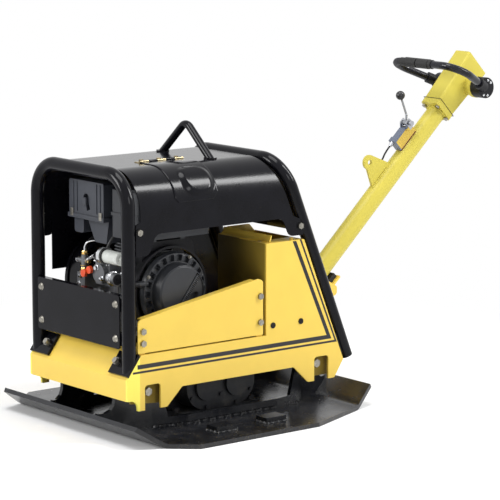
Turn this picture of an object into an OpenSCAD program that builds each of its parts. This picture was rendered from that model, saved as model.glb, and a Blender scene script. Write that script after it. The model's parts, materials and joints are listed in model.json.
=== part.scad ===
// Reversible diesel plate compactor, millimetres, +Z up.
// Origin: centre of the sole plate's flat underside. -Y is the front lip, +Y the handle side, X across.

/* [Sole plate] */
// Half width of the sole plate at its straight sides
plate_half_w = 390; // [370:1:410]
// Thickness of the sole plate
plate_t = 12; // [8:0.5:16]
// Half length of the flat underside
plate_flat = 334; // [325:1:345]
// Length of each upturned lip along its slope
lip_len = 87; // [60:1:110]
// Angle of the upturned lips
lip_angle = 34; // [25:1:42]
// Half width of the front bend line
front_bend_half_w = 329; // [300:1:350]
// Half width of the rear bend line
rear_bend_half_w = 307; // [280:1:340]
// Thickness of the bent side webs
web_t = 12; // [8:0.5:16]
// Height of the webs where the rubber buffers sit
web_h = 166; // [158:1:175]
// Height of the webs beside the exciter
web_low = 36; // [30:1:38]

/* [Exciter] */
// Distance between the two eccentric shafts
shaft_gap = 100; // [96:1:106]
// Radius of the eccentric shafts
shaft_r = 15; // [12:0.5:18]
// Radius of the eccentric weights
weight_r = 44; // [36:1:46]
// Number of teeth on each timing gear
gear_teeth = 24; // [16:4:32]
// Half length of the exciter casing
exciter_half_l = 125; // [115:1:130]
// Wall of the exciter casing
exciter_wall = 8; // [6:0.5:10]
// Height of the shaft axes above the ground
shaft_z = 90; // [88:1:100]

/* [Chassis] */
// Half width over the chassis side plates
deck_half_w = 220; // [214:1:226]
// Thickness of the chassis side plates
side_t = 6; // [4:0.5:8]
// Top of the deck plate above the ground
deck_z = 222; // [218:1:230]
// Thickness of the deck plate
deck_t = 6; // [4:0.5:8]
// Y of the chassis front face
face_y = -371; // [-380:1:-366]
// Bottom of the chassis front face
face_bottom_z = 106; // [98:1:112]
// Bend line between the front face and the slope
face_bend_z = 161; // [155:1:168]
// Bottom of the four side feet
foot_z = 77; // [70:1:86]
// Bottom edge of the side plates between the feet
belly_z = 124; // [118:1:130]
// Width of the slots in the feet
slot_w = 50; // [40:1:54]
// Top of the slots in the feet
slot_top_z = 142; // [138:1:150]
// Distance of the front buffer axis ahead of the origin
buffer_front = 290; // [286:1:294]
// Distance of the rear buffer axis behind the origin
buffer_rear = 276; // [272:1:280]
// Height of the buffer axes
buffer_z = 119; // [112:1:124]
// Radius of the rubber buffers
buffer_r = 30; // [24:1:33]
// Top of the yellow rear housing
housing_top_z = 468; // [440:1:480]
// Y of the housing's front wall
housing_y = 84; // [80:1:92]
// X of the housing's inner side wall
housing_x = 13; // [8:1:30]

/* [Frames and covers] */
// Outer radius of the frame tubes
tube_r = 18; // [15:0.5:19]
// Wall of the frame tubes
tube_wall = 3; // [2:0.5:4]
// Y of the upright front frame
front_frame_y = -352; // [-354:1:-350]
// Height of the frame top tubes' axis
frame_top_z = 682; // [665:1:700]
// Radius of the frame bends
frame_bend_r = 85; // [60:1:100]
// Lean of the rear frame from upright
rear_tilt = 22.2; // [18:0.1:24]
// Clear gap between the rear frame legs and the chassis
rear_gap = 6; // [4:0.5:8]
// Top of the hood sheet
hood_top_z = 690; // [680:1:700]
// Radius of the hood's shoulders
hood_r = 107; // [90:1:115]
// Thickness of the hood sheet
hood_t = 3; // [2:0.5:4]
// Lower edge of the hood sides
hood_edge_z = 530; // [515:1:545]
// Front edge of the hood
hood_front_y = -325; // [-328:1:-320]
// First and last Y of the access flap
flap_y = [-212, -70]; // [-215:1:-60]
// Angle on the shoulder at which the flap ends
flap_end_angle = 11; // [8:1:30]
// Thickness of the side guards
guard_t = 4; // [3:0.5:5]
// Radius of the lifting bail's rod
bail_r = 10.5; // [8:0.5:13]
// Half width of the lifting bail at its feet
bail_half_w = 104; // [90:1:110]
// Height of the bail's axis above the hood
bail_h = 82; // [70:1:100]
// Y of the lifting bail
bail_y = -12; // [-20:1:0]

/* [Engine] */
// Y of the crankshaft axis
crank_y = -155; // [-158:1:-152]
// Height of the crankshaft axis
crank_z = 357; // [354:1:361]
// Radius of the recoil starter's ring
recoil_r = 104; // [98:1:107]
// Radius of the recoil starter's raised disc
recoil_disc_r = 72; // [66:1:76]
// Pitch radius of the clutch pulley
clutch_r = 48; // [44:1:52]
// Pitch radius of the exciter pulley
pulley_r = 40; // [36:1:44]
// Number of cooling fins on the cylinder
fin_count = 12; // [8:1:13]

/* [Handle] */
// Y of the handle's pivot
pivot_y = 412; // [408:1:418]
// Height of the handle's pivot
pivot_z = 288; // [282:1:294]
// Angle of the handle above the horizontal
handle_angle = 43.3; // [38:0.1:48]
// Outer radius of the handle tube
handle_r = 27.5; // [24:0.5:29]
// Wall of the handle tube
handle_wall = 3.5; // [2.5:0.5:5]
// Distance from the pivot to the head flange
handle_len = 661; // [640:1:680]
// Thickness of the head flange
flange_t = 18; // [12:1:22]
// Length of the handle head above its flange
head_len = 173; // [165:1:180]
// Radius of the pivot pin
pin_r = 12; // [9:0.5:14]
// Distance of the control bar's axis above the head flange
hub_up = 106; // [100:1:112]
// Half width at which the bar's arms would meet the grip's line
bar_half_w = 160; // [150:1:165]
// Distance from the control bar's axis to its grip
bar_reach = 178; // [165:1:185]
// Radius of the control bar's tube
bar_r = 11; // [9:0.5:12.5]
// Distance of the eye plate's hole along the handle
eye_s = 389; // [380:1:395]
// Radius of the hole in the eye plate
eye_r = 7; // [5:0.5:9]
// Radius of the throttle cable
cable_r = 2.5; // [2:0.1:3]

/* [Clearances] */
// Radial clearance of a turning fit
run_gap = 0.05; // [0.03:0.01:0.08]
// Gap between parts that pass each other
pass_gap = 0.3; // [0.2:0.05:0.5]
// Radius of the small machine screws
screw_r = 5; // [4:0.5:5.5]

/* [Hidden] */
$fn = 48;

yellow = [0.90, 0.80, 0.25];
black = [0.10, 0.10, 0.12];
grey = [0.30, 0.31, 0.34];
steel = [0.72, 0.72, 0.72];
eps = 0.01;

// ---- outlines -------------------------------------------------------------------------------------
function unit(v) = v / norm(v);
function near_turn(a, b) = b - a > 180 ? b - 360 : b - a < -180 ? b + 360 : b;
// Points of the arc of radius r that rounds corner q between p and s
function corner(p, q, s, r, n) =
    let(u = unit(p - q), w = unit(s - q), half = acos(u * w) / 2,
        d = r / tan(half), c = q + unit(u + w) * r / sin(half),
        a = q + u * d - c, b = q + w * d - c,
        a0 = atan2(a.y, a.x), a1 = near_turn(a0, atan2(b.y, b.x)))
    [for (i = [0:n]) c + r * [cos(a0 + (a1 - a0) * i / n), sin(a0 + (a1 - a0) * i / n)]];
// A closed outline whose corners are [point, radius] pairs
function rounded(list, n = 5) =
    let(m = len(list))
    [for (i = [0:m - 1])
        each (list[i][1] == 0 ? [list[i][0]]
            : corner(list[(i + m - 1) % m][0], list[i][0], list[(i + 1) % m][0], list[i][1], n))];
function flipped(p) = [-p.x, p.y];
function mirrored(list) = concat(list, [for (i = [len(list):-1:1]) flipped(list[i - 1])]);

// ---- shapes ---------------------------------------------------------------------------------------
// Extrudes a (Y, Z) outline along X
module side_cut(x0, x1) { translate([x0, 0, 0]) rotate([90, 0, 90]) linear_extrude(x1 - x0) children(); }
// Extrudes an (X, Z) outline along Y
module front_cut(y0, y1) { translate([0, y1, 0]) rotate([90, 0, 0]) linear_extrude(y1 - y0) children(); }
// A cylinder along X
module rod_x(x0, x1, y, z, r) { translate([x0, y, z]) rotate([0, 90, 0]) cylinder(h = x1 - x0, r = r); }
// A cylinder along Y
module rod_y(y0, y1, x, z, r) { translate([x, y1, z]) rotate([90, 0, 0]) cylinder(h = y1 - y0, r = r); }
// A cylinder between two points
module rod(a, b, r) {
    v = b - a;
    translate(a) rotate([0, acos(v.z / norm(v)), atan2(v.y, v.x)]) cylinder(h = norm(v), r = r);
}
module both_sides() { children(); mirror([1, 0, 0]) children(); }
module box(lo, hi) { translate(lo) cube(hi - lo); }
// A cap screw along +X with its hexagon head outside
module screw_x(x, y, z, r, grip) {
    rod_x(x - grip, x + eps, y, z, r);
    translate([x, y, z]) rotate([0, 90, 0]) cylinder(h = 1.2 * r, r = 1.8 * r, $fn = 6);
}
// A quarter ring in the plane of a frame, from the +X side to the top
module bend(r, tube) { rotate([90, 0, 0]) rotate_extrude(angle = 90) translate([r, 0]) circle(tube); }
// A loop of tube standing on two feet, open at the bottom
module tube_loop(half_w, leg, bend_r, r) {
    both_sides() {
        translate([half_w, 0, 0]) cylinder(h = leg - bend_r, r = r);
        translate([half_w - bend_r, 0, leg - bend_r]) bend(bend_r, r);
    }
    rod_x(-half_w + bend_r, half_w - bend_r, 0, leg, r);
}

// ---- derived sizes --------------------------------------------------------------------------------
in_w = deck_half_w - side_t;
leg_x = deck_half_w - 17;
foot_top_slope = deck_z - face_bend_z;
slope_angle = 53.6;
slope_dy = foot_top_slope / tan(slope_angle);
slope_top_y = face_y + slope_dy;
function on_slope(s, h) = [face_y + s * cos(slope_angle) - h * sin(slope_angle),
    face_bend_z + s * sin(slope_angle) + h * cos(slope_angle)];
// The rear frame's axis, and the chassis rear edge that runs parallel ahead of it
rear_foot = [378, 129];
function frame_y(z) = rear_foot.x - (z - rear_foot.y) * tan(rear_tilt);
function edge_y(z) = frame_y(z) - (tube_r + rear_gap) / cos(rear_tilt);
rear_low_z = belly_z;
rear_wall_top_z = 300;
sill = [slope_top_y, deck_z];
wall_dy = side_t / cos(rear_tilt);
inner_plate_x = in_w - 25;
pad_x = inner_plate_x - 37;
gear_r = shaft_gap / 2;
casing_r = gear_r + 14;
bearing_r = 31;
cover_t = 8;
pulley_x = 41 - in_w;
shaft_end = 7 - pulley_x;
pulley_w = 24;
belt_w = 17;
belt_half = 5.5;
hood_half_w = leg_x + tube_r - 2;
shoulder_x = hood_half_w - hood_r;
shoulder_z = hood_top_z - hood_r;
hinge_x = 62;
hinge_z = hood_top_z + 3.5;
flap_t = 2.5;
guard_x = in_w;
panel_y = front_frame_y - tube_r + 2;
panel_t = 4;
panel_z = [237, 376];
panel_bolt_x = leg_x - 36;
panel_bolt_z = [262, 351];
rail_z = hood_top_z - hood_t;

function plate_profile() =
    let(r = 40, steps = 4, y0 = plate_flat - r * tan(lip_angle / 2),
        arc = [for (i = [0:steps]) lip_angle * i / steps],
        tip = [plate_flat + lip_len * cos(lip_angle), lip_len * sin(lip_angle)])
    mirrored(concat([for (a = arc) [y0 + r * sin(a), r - r * cos(a)]],
        [tip, tip + plate_t * [-sin(lip_angle), cos(lip_angle)]],
        [for (i = [steps:-1:0]) [y0 + (r - plate_t) * sin(arc[i]), r - (r - plate_t) * cos(arc[i])]]));

module base_plate() {
    reach = plate_flat + lip_len;
    plan = [[front_bend_half_w - 37, -reach], [front_bend_half_w, -plate_flat], [plate_half_w, -265],
        [plate_half_w, 126], [rear_bend_half_w, plate_flat], [rear_bend_half_w - 35, reach]];
    color(black) intersection() {
        side_cut(-plate_half_w - 1, plate_half_w + 1) polygon(plate_profile());
        linear_extrude(200, center = true) polygon(mirrored(plan));
    }
}

// Side webs: bent in plan, high at the buffers, low beside the exciter, with concave ends over the lips
module plate_webs() {
    end_y = plate_flat + 50;
    low_end = [[plate_flat - 8, plate_t / 2], [end_y, 42], [end_y, 57], [365, 56], [350, 64], [342, 78],
        [340, 96]];
    top = [[246, web_h], [205, web_low]];
    // the rear end leans ahead of the chassis' rear wall
    rear_end = concat(low_end, [[340, 112], [edge_y(web_h) - wall_dy - 8, web_h]], top);
    front_end = concat(low_end, [[340, web_h]], top);
    bends = [[pad_x - 44, end_y], [pad_x - 30, 345], [pad_x + 11, 251], [pad_x + 33, 150]];
    outer = concat([for (b = bends) [b.x, -b.y]], [for (i = [3:-1:0]) bends[i]]);
    inner = [for (i = [len(outer) - 1:-1:0]) outer[i] - [web_t, 0]];
    color(black) difference() {
        union() {
            both_sides() intersection() {
                linear_extrude(web_h + 1) polygon(concat(outer, inner));
                side_cut(pad_x - 62, pad_x + 48)
                    polygon(concat(rear_end, [for (i = [len(front_end):-1:1]) flipped(front_end[i - 1])]));
            }
            both_sides() for (y = [-buffer_front, buffer_rear])
                rod_x(pad_x - 26, pad_x, y, buffer_z, buffer_r + 3);
            // short pads welded near the long edges
            both_sides() for (y = [-158, 6]) box([274, y, plate_t], [318, y + 66, plate_t + 15]);
        }
        both_sides() for (y = [-buffer_front, buffer_rear]) {
            rod_x(pad_x - 40, pad_x + 1, y, buffer_z, 8);
            rod_x(pad_x, pad_x + 40, y, buffer_z, buffer_r + 2);
        }
        side_cut(-plate_half_w, plate_half_w) polygon(plate_profile());
    }
}

// ---- exciter --------------------------------------------------------------------------------------
module casing_outline(r) {
    for (y = [-gear_r, gear_r]) translate([y, shaft_z]) circle(r);
    translate([-gear_r, shaft_z - r]) square([2 * gear_r, 2 * r]);
}
module exciter_housing() {
    foot_w = gear_r + casing_r + 22;
    color(black) difference() {
        union() {
            side_cut(-exciter_half_l, exciter_half_l) casing_outline(casing_r);
            box([-exciter_half_l, -foot_w, plate_t], [exciter_half_l, foot_w, plate_t + 14]);
            for (x = [-60, 60]) box([x - 6, -foot_w + 8, plate_t + 14], [x + 6, foot_w - 8, plate_t + 45]);
            // filler boss on top
            translate([0, 0, shaft_z + casing_r - 1]) cylinder(h = 11, r = 16);
        }
        side_cut(-exciter_half_l - 1, exciter_half_l + 1) casing_outline(casing_r - exciter_wall);
    }
    color(steel) for (x = [-100, -35, 35, 100], s = [-1, 1])
        translate([x, s * (foot_w - 10), plate_t + 14]) cylinder(h = 9, r = 10, $fn = 6);
}
// End covers: a plate on each end, bearing seats inside, caps outside, one open for the pulley end
module exciter_covers() {
    seat = bearing_r + 7;
    color(grey) for (side = [-1, 1]) mirror([side < 0 ? 1 : 0, 0, 0]) difference() {
        union() {
            side_cut(exciter_half_l, exciter_half_l + cover_t) casing_outline(casing_r);
            for (y = [-gear_r, gear_r]) {
                rod_x(exciter_half_l - 18, exciter_half_l + 1, y, shaft_z, seat);
                rod_x(exciter_half_l + cover_t - 1, exciter_half_l + cover_t + 9, y, shaft_z, seat);
            }
            for (a = [30:60:330], y = [-gear_r, gear_r])
                rod_x(exciter_half_l + cover_t - 1, exciter_half_l + cover_t + 5,
                    y + (casing_r - 8) * cos(a), shaft_z + (casing_r - 8) * sin(a), 5);
        }
        for (y = [-gear_r, gear_r]) {
            rod_x(exciter_half_l - 19, exciter_half_l + 2, y, shaft_z, bearing_r);
            rod_x(exciter_half_l, exciter_half_l + cover_t + 4, y, shaft_z, shaft_r + 4);
        }
        if (side < 0) rod_x(exciter_half_l, exciter_half_l + cover_t + 20, -gear_r, shaft_z, shaft_r + 1);
    }
}
module exciter_bearings() {
    color(steel) both_sides() for (y = [-gear_r, gear_r]) difference() {
        rod_x(exciter_half_l - 17, exciter_half_l + 1.5, y, shaft_z, bearing_r - run_gap);
        rod_x(exciter_half_l - 18, exciter_half_l + 3, y, shaft_z, shaft_r + run_gap);
    }
}
// A shaft with a half-round weight that hangs down at rest
module eccentric(y, x0) {
    color(steel) union() {
        rod_x(x0, exciter_half_l + 5, y, shaft_z, shaft_r);
        intersection() {
            rod_x(-74, 74, y, shaft_z, weight_r);
            box([-75, y - weight_r - 1, shaft_z - weight_r - 1], [75, y + weight_r + 1, shaft_z + 4]);
        }
    }
}
module front_eccentric() { eccentric(-gear_r, -shaft_end + 1); }
module rear_eccentric() { eccentric(gear_r, -exciter_half_l - 5); }
// A timing gear with straight-sided teeth and a slack mesh, on its shaft
module timing_gear(y, turn) {
    step = 360 / gear_teeth;
    module_size = 2 * gear_r / gear_teeth;
    tip_r = gear_r + 0.75 * module_size;
    root_r = gear_r - 1.05 * module_size;
    pts = [for (i = [0:gear_teeth - 1], k = [[root_r, -0.33], [tip_r, -0.12], [tip_r, 0.12], [root_r, 0.33]])
        let(a = step * (i + k[1]) + turn) k[0] * [cos(a), sin(a)]];
    color(steel) difference() {
        side_cut(82, 98) translate([y, shaft_z]) polygon(pts);
        rod_x(80, 100, y, shaft_z, shaft_r);
        for (a = [45:90:315]) rod_x(80, 100, y + 30 * cos(a), shaft_z + 30 * sin(a), 7);
    }
}
module front_gear() { timing_gear(-gear_r, 0); }
module rear_gear() { timing_gear(gear_r, 180 / gear_teeth); }
// A grooved pulley of pitch radius r, bored for a shaft
module pulley(y, z, r, bore, rim) {
    mid = pulley_x + pulley_w / 2;
    difference() {
        rod_x(pulley_x, pulley_x + pulley_w, y, z, rim);
        difference() {
            rod_x(mid - belt_w / 2 - 0.5, mid + belt_w / 2 + 0.5, y, z, rim + 1);
            rod_x(mid - belt_w, mid + belt_w, y, z, r - belt_half - 0.6);
        }
        rod_x(pulley_x - 1, pulley_x + pulley_w + 1, y, z, bore);
    }
}
module exciter_pulley() { color(grey) pulley(-gear_r, shaft_z, pulley_r, shaft_r, pulley_r + 7); }

module rubber_buffers() {
    color("dimgray") both_sides() for (y = [-buffer_front, buffer_rear]) {
        rod_x(pad_x, inner_plate_x - pass_gap, y, buffer_z, buffer_r - 3);
        rod_x(pad_x, pad_x + 4, y, buffer_z, buffer_r);
        rod_x(inner_plate_x - pass_gap - 4, inner_plate_x - pass_gap, y, buffer_z, buffer_r);
    }
}

// ---- chassis --------------------------------------------------------------------------------------
function foot_points() = [
    [[edge_y(rear_low_z), rear_low_z], 6], [[322, foot_z], 5], [[buffer_rear - slot_w / 2 - 22, foot_z], 5],
    [[buffer_rear - slot_w / 2 - 72, belly_z], 8], [[-buffer_front + slot_w / 2 + 70, belly_z], 8],
    [[-buffer_front + slot_w / 2 + 21, foot_z], 5], [[-338, foot_z], 3], [[-338, face_bottom_z], 22],
    [[face_y, face_bottom_z], 2], [[face_y, face_bend_z], 4], [sill, 2]];
module foot_slots() {
    for (y = [-buffer_front, buffer_rear])
        polygon(rounded([[[y - slot_w / 2, foot_z - 9], 0], [[y + slot_w / 2, foot_z - 9], 0],
            [[y + slot_w / 2, slot_top_z], 9], [[y - slot_w / 2, slot_top_z], 9]]));
}
module right_side() {
    color(yellow) side_cut(in_w, deck_half_w) difference() {
        polygon(rounded(concat(foot_points(), [[[housing_y, deck_z], 0], [[housing_y, housing_top_z], 0],
            [[edge_y(housing_top_z), housing_top_z], 3]])));
        foot_slots();
        for (y = [107, 203]) translate([y, 247]) circle(6);
    }
}
module left_side() {
    color(yellow) side_cut(-deck_half_w, -in_w) difference() {
        polygon(rounded(concat(foot_points(), [[[edge_y(deck_z), deck_z], 3]])));
        foot_slots();
    }
}
module chassis() {
    color(yellow) {
        // front face and slope, bent from one plate
        side_cut(-in_w, in_w) polygon([[face_y, face_bottom_z], [face_y, face_bend_z], sill,
            [sill.x, deck_z - deck_t - 2], on_slope(1, -side_t), [face_y + side_t, face_bottom_z]]);
        // deck plate with the belt's slot
        difference() {
            box([-in_w, slope_top_y - eps, deck_z - deck_t], [in_w, edge_y(deck_z) - 3, deck_z]);
            box([pulley_x - 13, -172, deck_z - deck_t - 1], [pulley_x + 35, -26, deck_z + 1]);
        }
        // leaning rear wall
        side_cut(-in_w, in_w) polygon([[edge_y(rear_low_z), rear_low_z],
            [edge_y(rear_wall_top_z), rear_wall_top_z], [edge_y(rear_wall_top_z) - wall_dy, rear_wall_top_z],
            [edge_y(rear_low_z) - wall_dy, rear_low_z]]);
        // bars that carry the side guards
        both_sides() for (y = [-328, 56]) difference() {
            box([guard_x - 6, y, deck_z - eps], [guard_x, y + 18, y < 0 ? 300 : 345]);
            for (z = guard_bolt_z(y)) rod_x(guard_x - 7, guard_x + 1, y + 9, z, screw_r + 0.5);
        }
    }
}
// Plates under the deck that the buffers bolt to
module buffer_plates() {
    under = deck_z - deck_t;
    front_low = [[-350, 150], [-342, 92], [-244, 84], [-210, 150], [-210, under], [slope_top_y + 4, under]];
    rear_low = [[196, under], [196, 150], [232, 84], [318, 84], [edge_y(150) - 8, 150],
        [edge_y(deck_z) - 10, under]];
    color(yellow) both_sides() difference() {
        side_cut(inner_plate_x, inner_plate_x + side_t) { polygon(front_low); polygon(rear_low); }
        for (y = [-buffer_front, buffer_rear]) rod_x(inner_plate_x - 1, inner_plate_x + 8, y, buffer_z, 7);
    }
}
module buffer_bolts() {
    color(steel) both_sides() for (y = [-buffer_front, buffer_rear])
        screw_x(inner_plate_x + side_t, y, buffer_z, 6.5, side_t - 0.5);
}
// Ears that carry the handle, with the plate under its rubber stop
module handle_bracket() {
    ear = rounded([[[edge_y(rear_wall_top_z), rear_wall_top_z], 0], [[edge_y(170), 170], 0],
        [[400, 236], 12], [[pivot_y + 68, pivot_z - 24], 10], [[pivot_y + 68, pivot_z - 2], 8],
        [[pivot_y + 20, pivot_z + 26], 8], [[pivot_y - 20, pivot_z + 34], 14]]);
    color(yellow) {
        both_sides() difference() {
            side_cut(34, 46) polygon(ear);
            rod_x(33, 47, pivot_y, pivot_z, pin_r + run_gap);
        }
        at_handle() box([-35, handle_r + 14, 40], [35, handle_r + 20, 80]);
    }
}

// Section of the housing's curved lip in (Y, Z), from its foot or from a distance behind it
function lip(from) =
    let(y = housing_y, z = housing_top_z,
        outer = [[0, 1], [13, 4], [18, 9], [21, 19]],
        inner = [[24, 19], [21, 7], [15, 0], [0, -3]])
    from == 0 ? [for (p = concat(outer, inner)) [y + p.x, z + p.y]]
        : [for (p = [[from, 5], [18, 9], [21, 19], [24, 19], [21, 7], [from, 1]]) [y + p.x, z + p.y]];
// Open-topped housing on the right rear of the deck
module rear_housing() {
    top = housing_top_z;
    raised = top + 19;
    wall = 4;
    rim = 16;
    color(yellow) {
        // front wall and its folded rim
        box([housing_x, housing_y, deck_z], [in_w, housing_y + wall, top]);
        box([housing_x + 60, housing_y, top - wall], [in_w, housing_y + rim, top]);
        // inner side wall, raised in a curve above the front wall
        side_cut(housing_x, housing_x + wall) polygon(rounded([[[housing_y, deck_z], 0],
            [[edge_y(deck_z) - wall_dy, deck_z], 0],
            [[edge_y(rear_wall_top_z) - wall_dy, rear_wall_top_z], 0],
            [[edge_y(rear_wall_top_z), rear_wall_top_z], 0], [[edge_y(raised), top + 2], 0],
            [[190, raised], 8], [[housing_y + 24, raised], 14], [[housing_y + 18, top], 14],
            [[housing_y, top], 0]]));
        // leaning rear wall
        side_cut(housing_x, in_w) polygon([[edge_y(rear_wall_top_z), rear_wall_top_z], [edge_y(top), top],
            [edge_y(top) - wall, top], [edge_y(rear_wall_top_z) - wall, rear_wall_top_z]]);
        // curved lip behind the rim, whose foot narrows to the right
        side_cut(housing_x, in_w) polygon(lip(16));
        intersection() {
            side_cut(housing_x, in_w) polygon(lip(0));
            linear_extrude(1000) polygon([[housing_x, housing_y], [housing_x + 80, housing_y],
                [in_w - 10, housing_y + 24], [housing_x, housing_y + 24]]);
        }
        // side rim
        box([in_w - 44, housing_y + 1, top - wall], [in_w, edge_y(top) - 1, top]);
    }
    color(steel) for (p = [[in_w - 38, housing_y + 34, 6.5], [in_w - 7, 180, 5]])
        translate([p.x, p.y, top]) cylinder(h = 6, r = p.z, $fn = 6);
}
module housing_plugs() {
    color(black) for (y = [107, 203]) {
        rod_x(in_w - 3, deck_half_w, y, 247, 6 - run_gap);
        rod_x(deck_half_w, deck_half_w + 2, y, 247, 8);
    }
}

// Side guards: flat plates with a folded top edge
function guard_bolt_z(y) = y < 0 ? [251, 282] : [260, 330];
guard_list = [[[-334, 226], 2], [[-334, 312], 12], [[60, 377], 14], [[75, 370], 8], [[75, 226], 2]];
module guard() {
    x1 = guard_x + guard_t;
    difference() {
        union() {
            side_cut(guard_x, x1) polygon(rounded(guard_list));
            side_cut(x1 - 22, x1) polygon([[-320, 314.3 - 3.4], [-320, 314.3], [48, 375], [48, 371.6]]);
        }
        for (y = [-319, 65], z = guard_bolt_z(y)) rod_x(guard_x - 1, x1 + 1, y, z, screw_r + 0.5);
    }
}
module right_guard() { color(yellow) guard(); }
module left_guard() { color(yellow) mirror([1, 0, 0]) guard(); }
module guard_bolts() {
    both_sides() for (y = [-319, 65], z = guard_bolt_z(y))
        screw_x(guard_x + guard_t, y, z, screw_r, guard_t + 6);
}

// ---- frames ---------------------------------------------------------------------------------------
foot_t = 8;
module front_loop(r) {
    translate([0, front_frame_y, 150]) tube_loop(leg_x, frame_top_z - 150, frame_bend_r, r);
}
module front_frame() {
    below = [on_slope(-120, foot_t), on_slope(200, foot_t), on_slope(200, -250), on_slope(-120, -250)];
    color(black) {
        difference() {
            front_loop(tube_r);
            front_loop(tube_r - tube_wall);
            side_cut(-300, 300) polygon(below);
        }
        both_sides() difference() {
            side_cut(leg_x - 65, deck_half_w) polygon([on_slope(8, 0), on_slope(72, 0), on_slope(72, foot_t),
                on_slope(8, foot_t)]);
            foot_bolt_place() translate([0, 0, -foot_t - 1]) cylinder(h = foot_t + 2, r = 7);
        }
        // tabs for the front panel
        both_sides() for (z = panel_bolt_z) difference() {
            box([leg_x - 55, panel_y + panel_t, z - 16], [leg_x - 13, panel_y + panel_t + 6, z + 16]);
            rod_y(panel_y, panel_y + 20, panel_bolt_x, z, screw_r + 0.5);
        }
        // tabs for the hood's front corners
        both_sides() difference() {
            box([hood_half_w - hood_t - 5, front_frame_y + 9, hood_bolt.y - 20],
                [hood_half_w - hood_t, hood_front_y + 16, hood_bolt.y + 20]);
            rod_x(hood_half_w - 20, hood_half_w, hood_bolt.x, hood_bolt.y, screw_r + 0.5);
        }
    }
}
module foot_bolt_place() {
    place = on_slope(40, foot_t);
    translate([leg_x - 46, place.x, place.y]) rotate([slope_angle, 0, 0]) children();
}
module at_rear_frame() { translate([0, rear_foot.x, rear_foot.y]) rotate([rear_tilt, 0, 0]) children(); }
rear_leg = (frame_top_z - rear_foot.y) / cos(rear_tilt);
pad_bolt_z = [36, 68];
module rear_frame() {
    color(black) {
        at_rear_frame() difference() {
            tube_loop(leg_x, rear_leg, frame_bend_r, tube_r);
            tube_loop(leg_x, rear_leg, frame_bend_r, tube_r - tube_wall);
        }
        // pads that bolt the legs to the chassis rear wall
        at_rear_frame() both_sides() difference() {
            union() {
                box([leg_x - 53, -tube_r - rear_gap, 22], [deck_half_w - 2, -tube_r, 82]);
                box([leg_x - 10, -tube_r - 1, 24], [leg_x + 10, -tube_r + 6, 80]);
            }
            for (z = pad_bolt_z) rod_y(-40, 0, leg_x - 38, z, screw_r + 1.5);
        }
        // end plugs
        at_rear_frame() both_sides() translate([leg_x, 0, 0]) cylinder(h = 4, r = tube_r - 1);
        // tabs for the hood's rear corners
        both_sides() difference() {
            side_cut(hood_half_w - hood_t - 5, hood_half_w - hood_t) polygon([[frame_y(525) - 32, 525],
                [frame_y(525) - 12, 525], [frame_y(485) - 12, 485], [frame_y(485) - 32, 485]]);
            rod_x(hood_half_w - 20, hood_half_w, rear_bolt.x, rear_bolt.y, screw_r + 0.5);
        }
    }
}
// Sheet that closes the upper part of the rear frame
module rear_panel() {
    low = (483 - rear_foot.y) / cos(rear_tilt);
    w = leg_x - tube_r;
    top = rear_leg - tube_r;
    color(black) at_rear_frame() front_cut(-1.5, 1.5) difference() {
        polygon(rounded([[[-w, low - 20], 0], [[-w + 44, low], 14], [[w - 44, low], 14], [[w, low - 20], 0],
            [[w, top], frame_bend_r - tube_r], [[-w, top], frame_bend_r - tube_r]]));
        for (i = [-4:4]) translate([i * 26 - 2.5, rear_leg - 110]) square([5, 60]);
    }
}
module frame_bolts() {
    both_sides() foot_bolt_place() {
        translate([0, 0, -foot_t + eps]) cylinder(h = foot_t + 2, r = 6.5);
        cylinder(h = 9, r = 11, $fn = 6);
        translate([0, 0, 8.5]) cylinder(h = 6, r = 8);
    }
    both_sides() at_rear_frame() for (z = pad_bolt_z) {
        translate([leg_x - 38, -tube_r + 7, z]) rotate([90, 0, 0]) cylinder(h = 7, r = 9, $fn = 6);
        rod_y(0.1 - tube_r - rear_gap, 1 - tube_r, leg_x - 38, z, screw_r + 1);
    }
}
module front_panel() {
    w = leg_x - 19;
    color(black) difference() {
        front_cut(panel_y, panel_y + panel_t) polygon(rounded([[[-w, panel_z[0]], 8], [[w, panel_z[0]], 8],
            [[w, panel_z[1]], 8], [[-w, panel_z[1]], 8]]));
        both_sides() for (z = panel_bolt_z) rod_y(panel_y - 1, panel_y + 20, panel_bolt_x, z, screw_r + 0.5);
    }
    color(black) box([12 - w, panel_y + panel_t - eps, panel_z[1] - 3], [w - 12, panel_y + 18, panel_z[1]]);
}
module panel_bolts() {
    both_sides() for (z = panel_bolt_z) {
        rod_y(panel_y, panel_y + panel_t + 10, panel_bolt_x, z, screw_r);
        translate([panel_bolt_x, panel_y, z]) rotate([90, 0, 0]) cylinder(h = 5, r1 = 10, r2 = 6.5);
        translate([panel_bolt_x, panel_y + panel_t + 13, z]) rotate([90, 0, 0])
            cylinder(h = 7, r = 9, $fn = 6);
    }
}

// ---- hood -----------------------------------------------------------------------------------------
// Half of the hood's cross-section outline, offset inwards by d
module hood_arch(d) {
    r = hood_r - d;
    low = 400;
    both_x2d() {
        translate([shoulder_x, shoulder_z]) circle(r, $fn = 96);
        translate([0, shoulder_z]) square([shoulder_x, r]);
        translate([0, low]) square([shoulder_x + r, shoulder_z - low]);
    }
}
module both_x2d() { children(); mirror([1, 0]) children(); }
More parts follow.
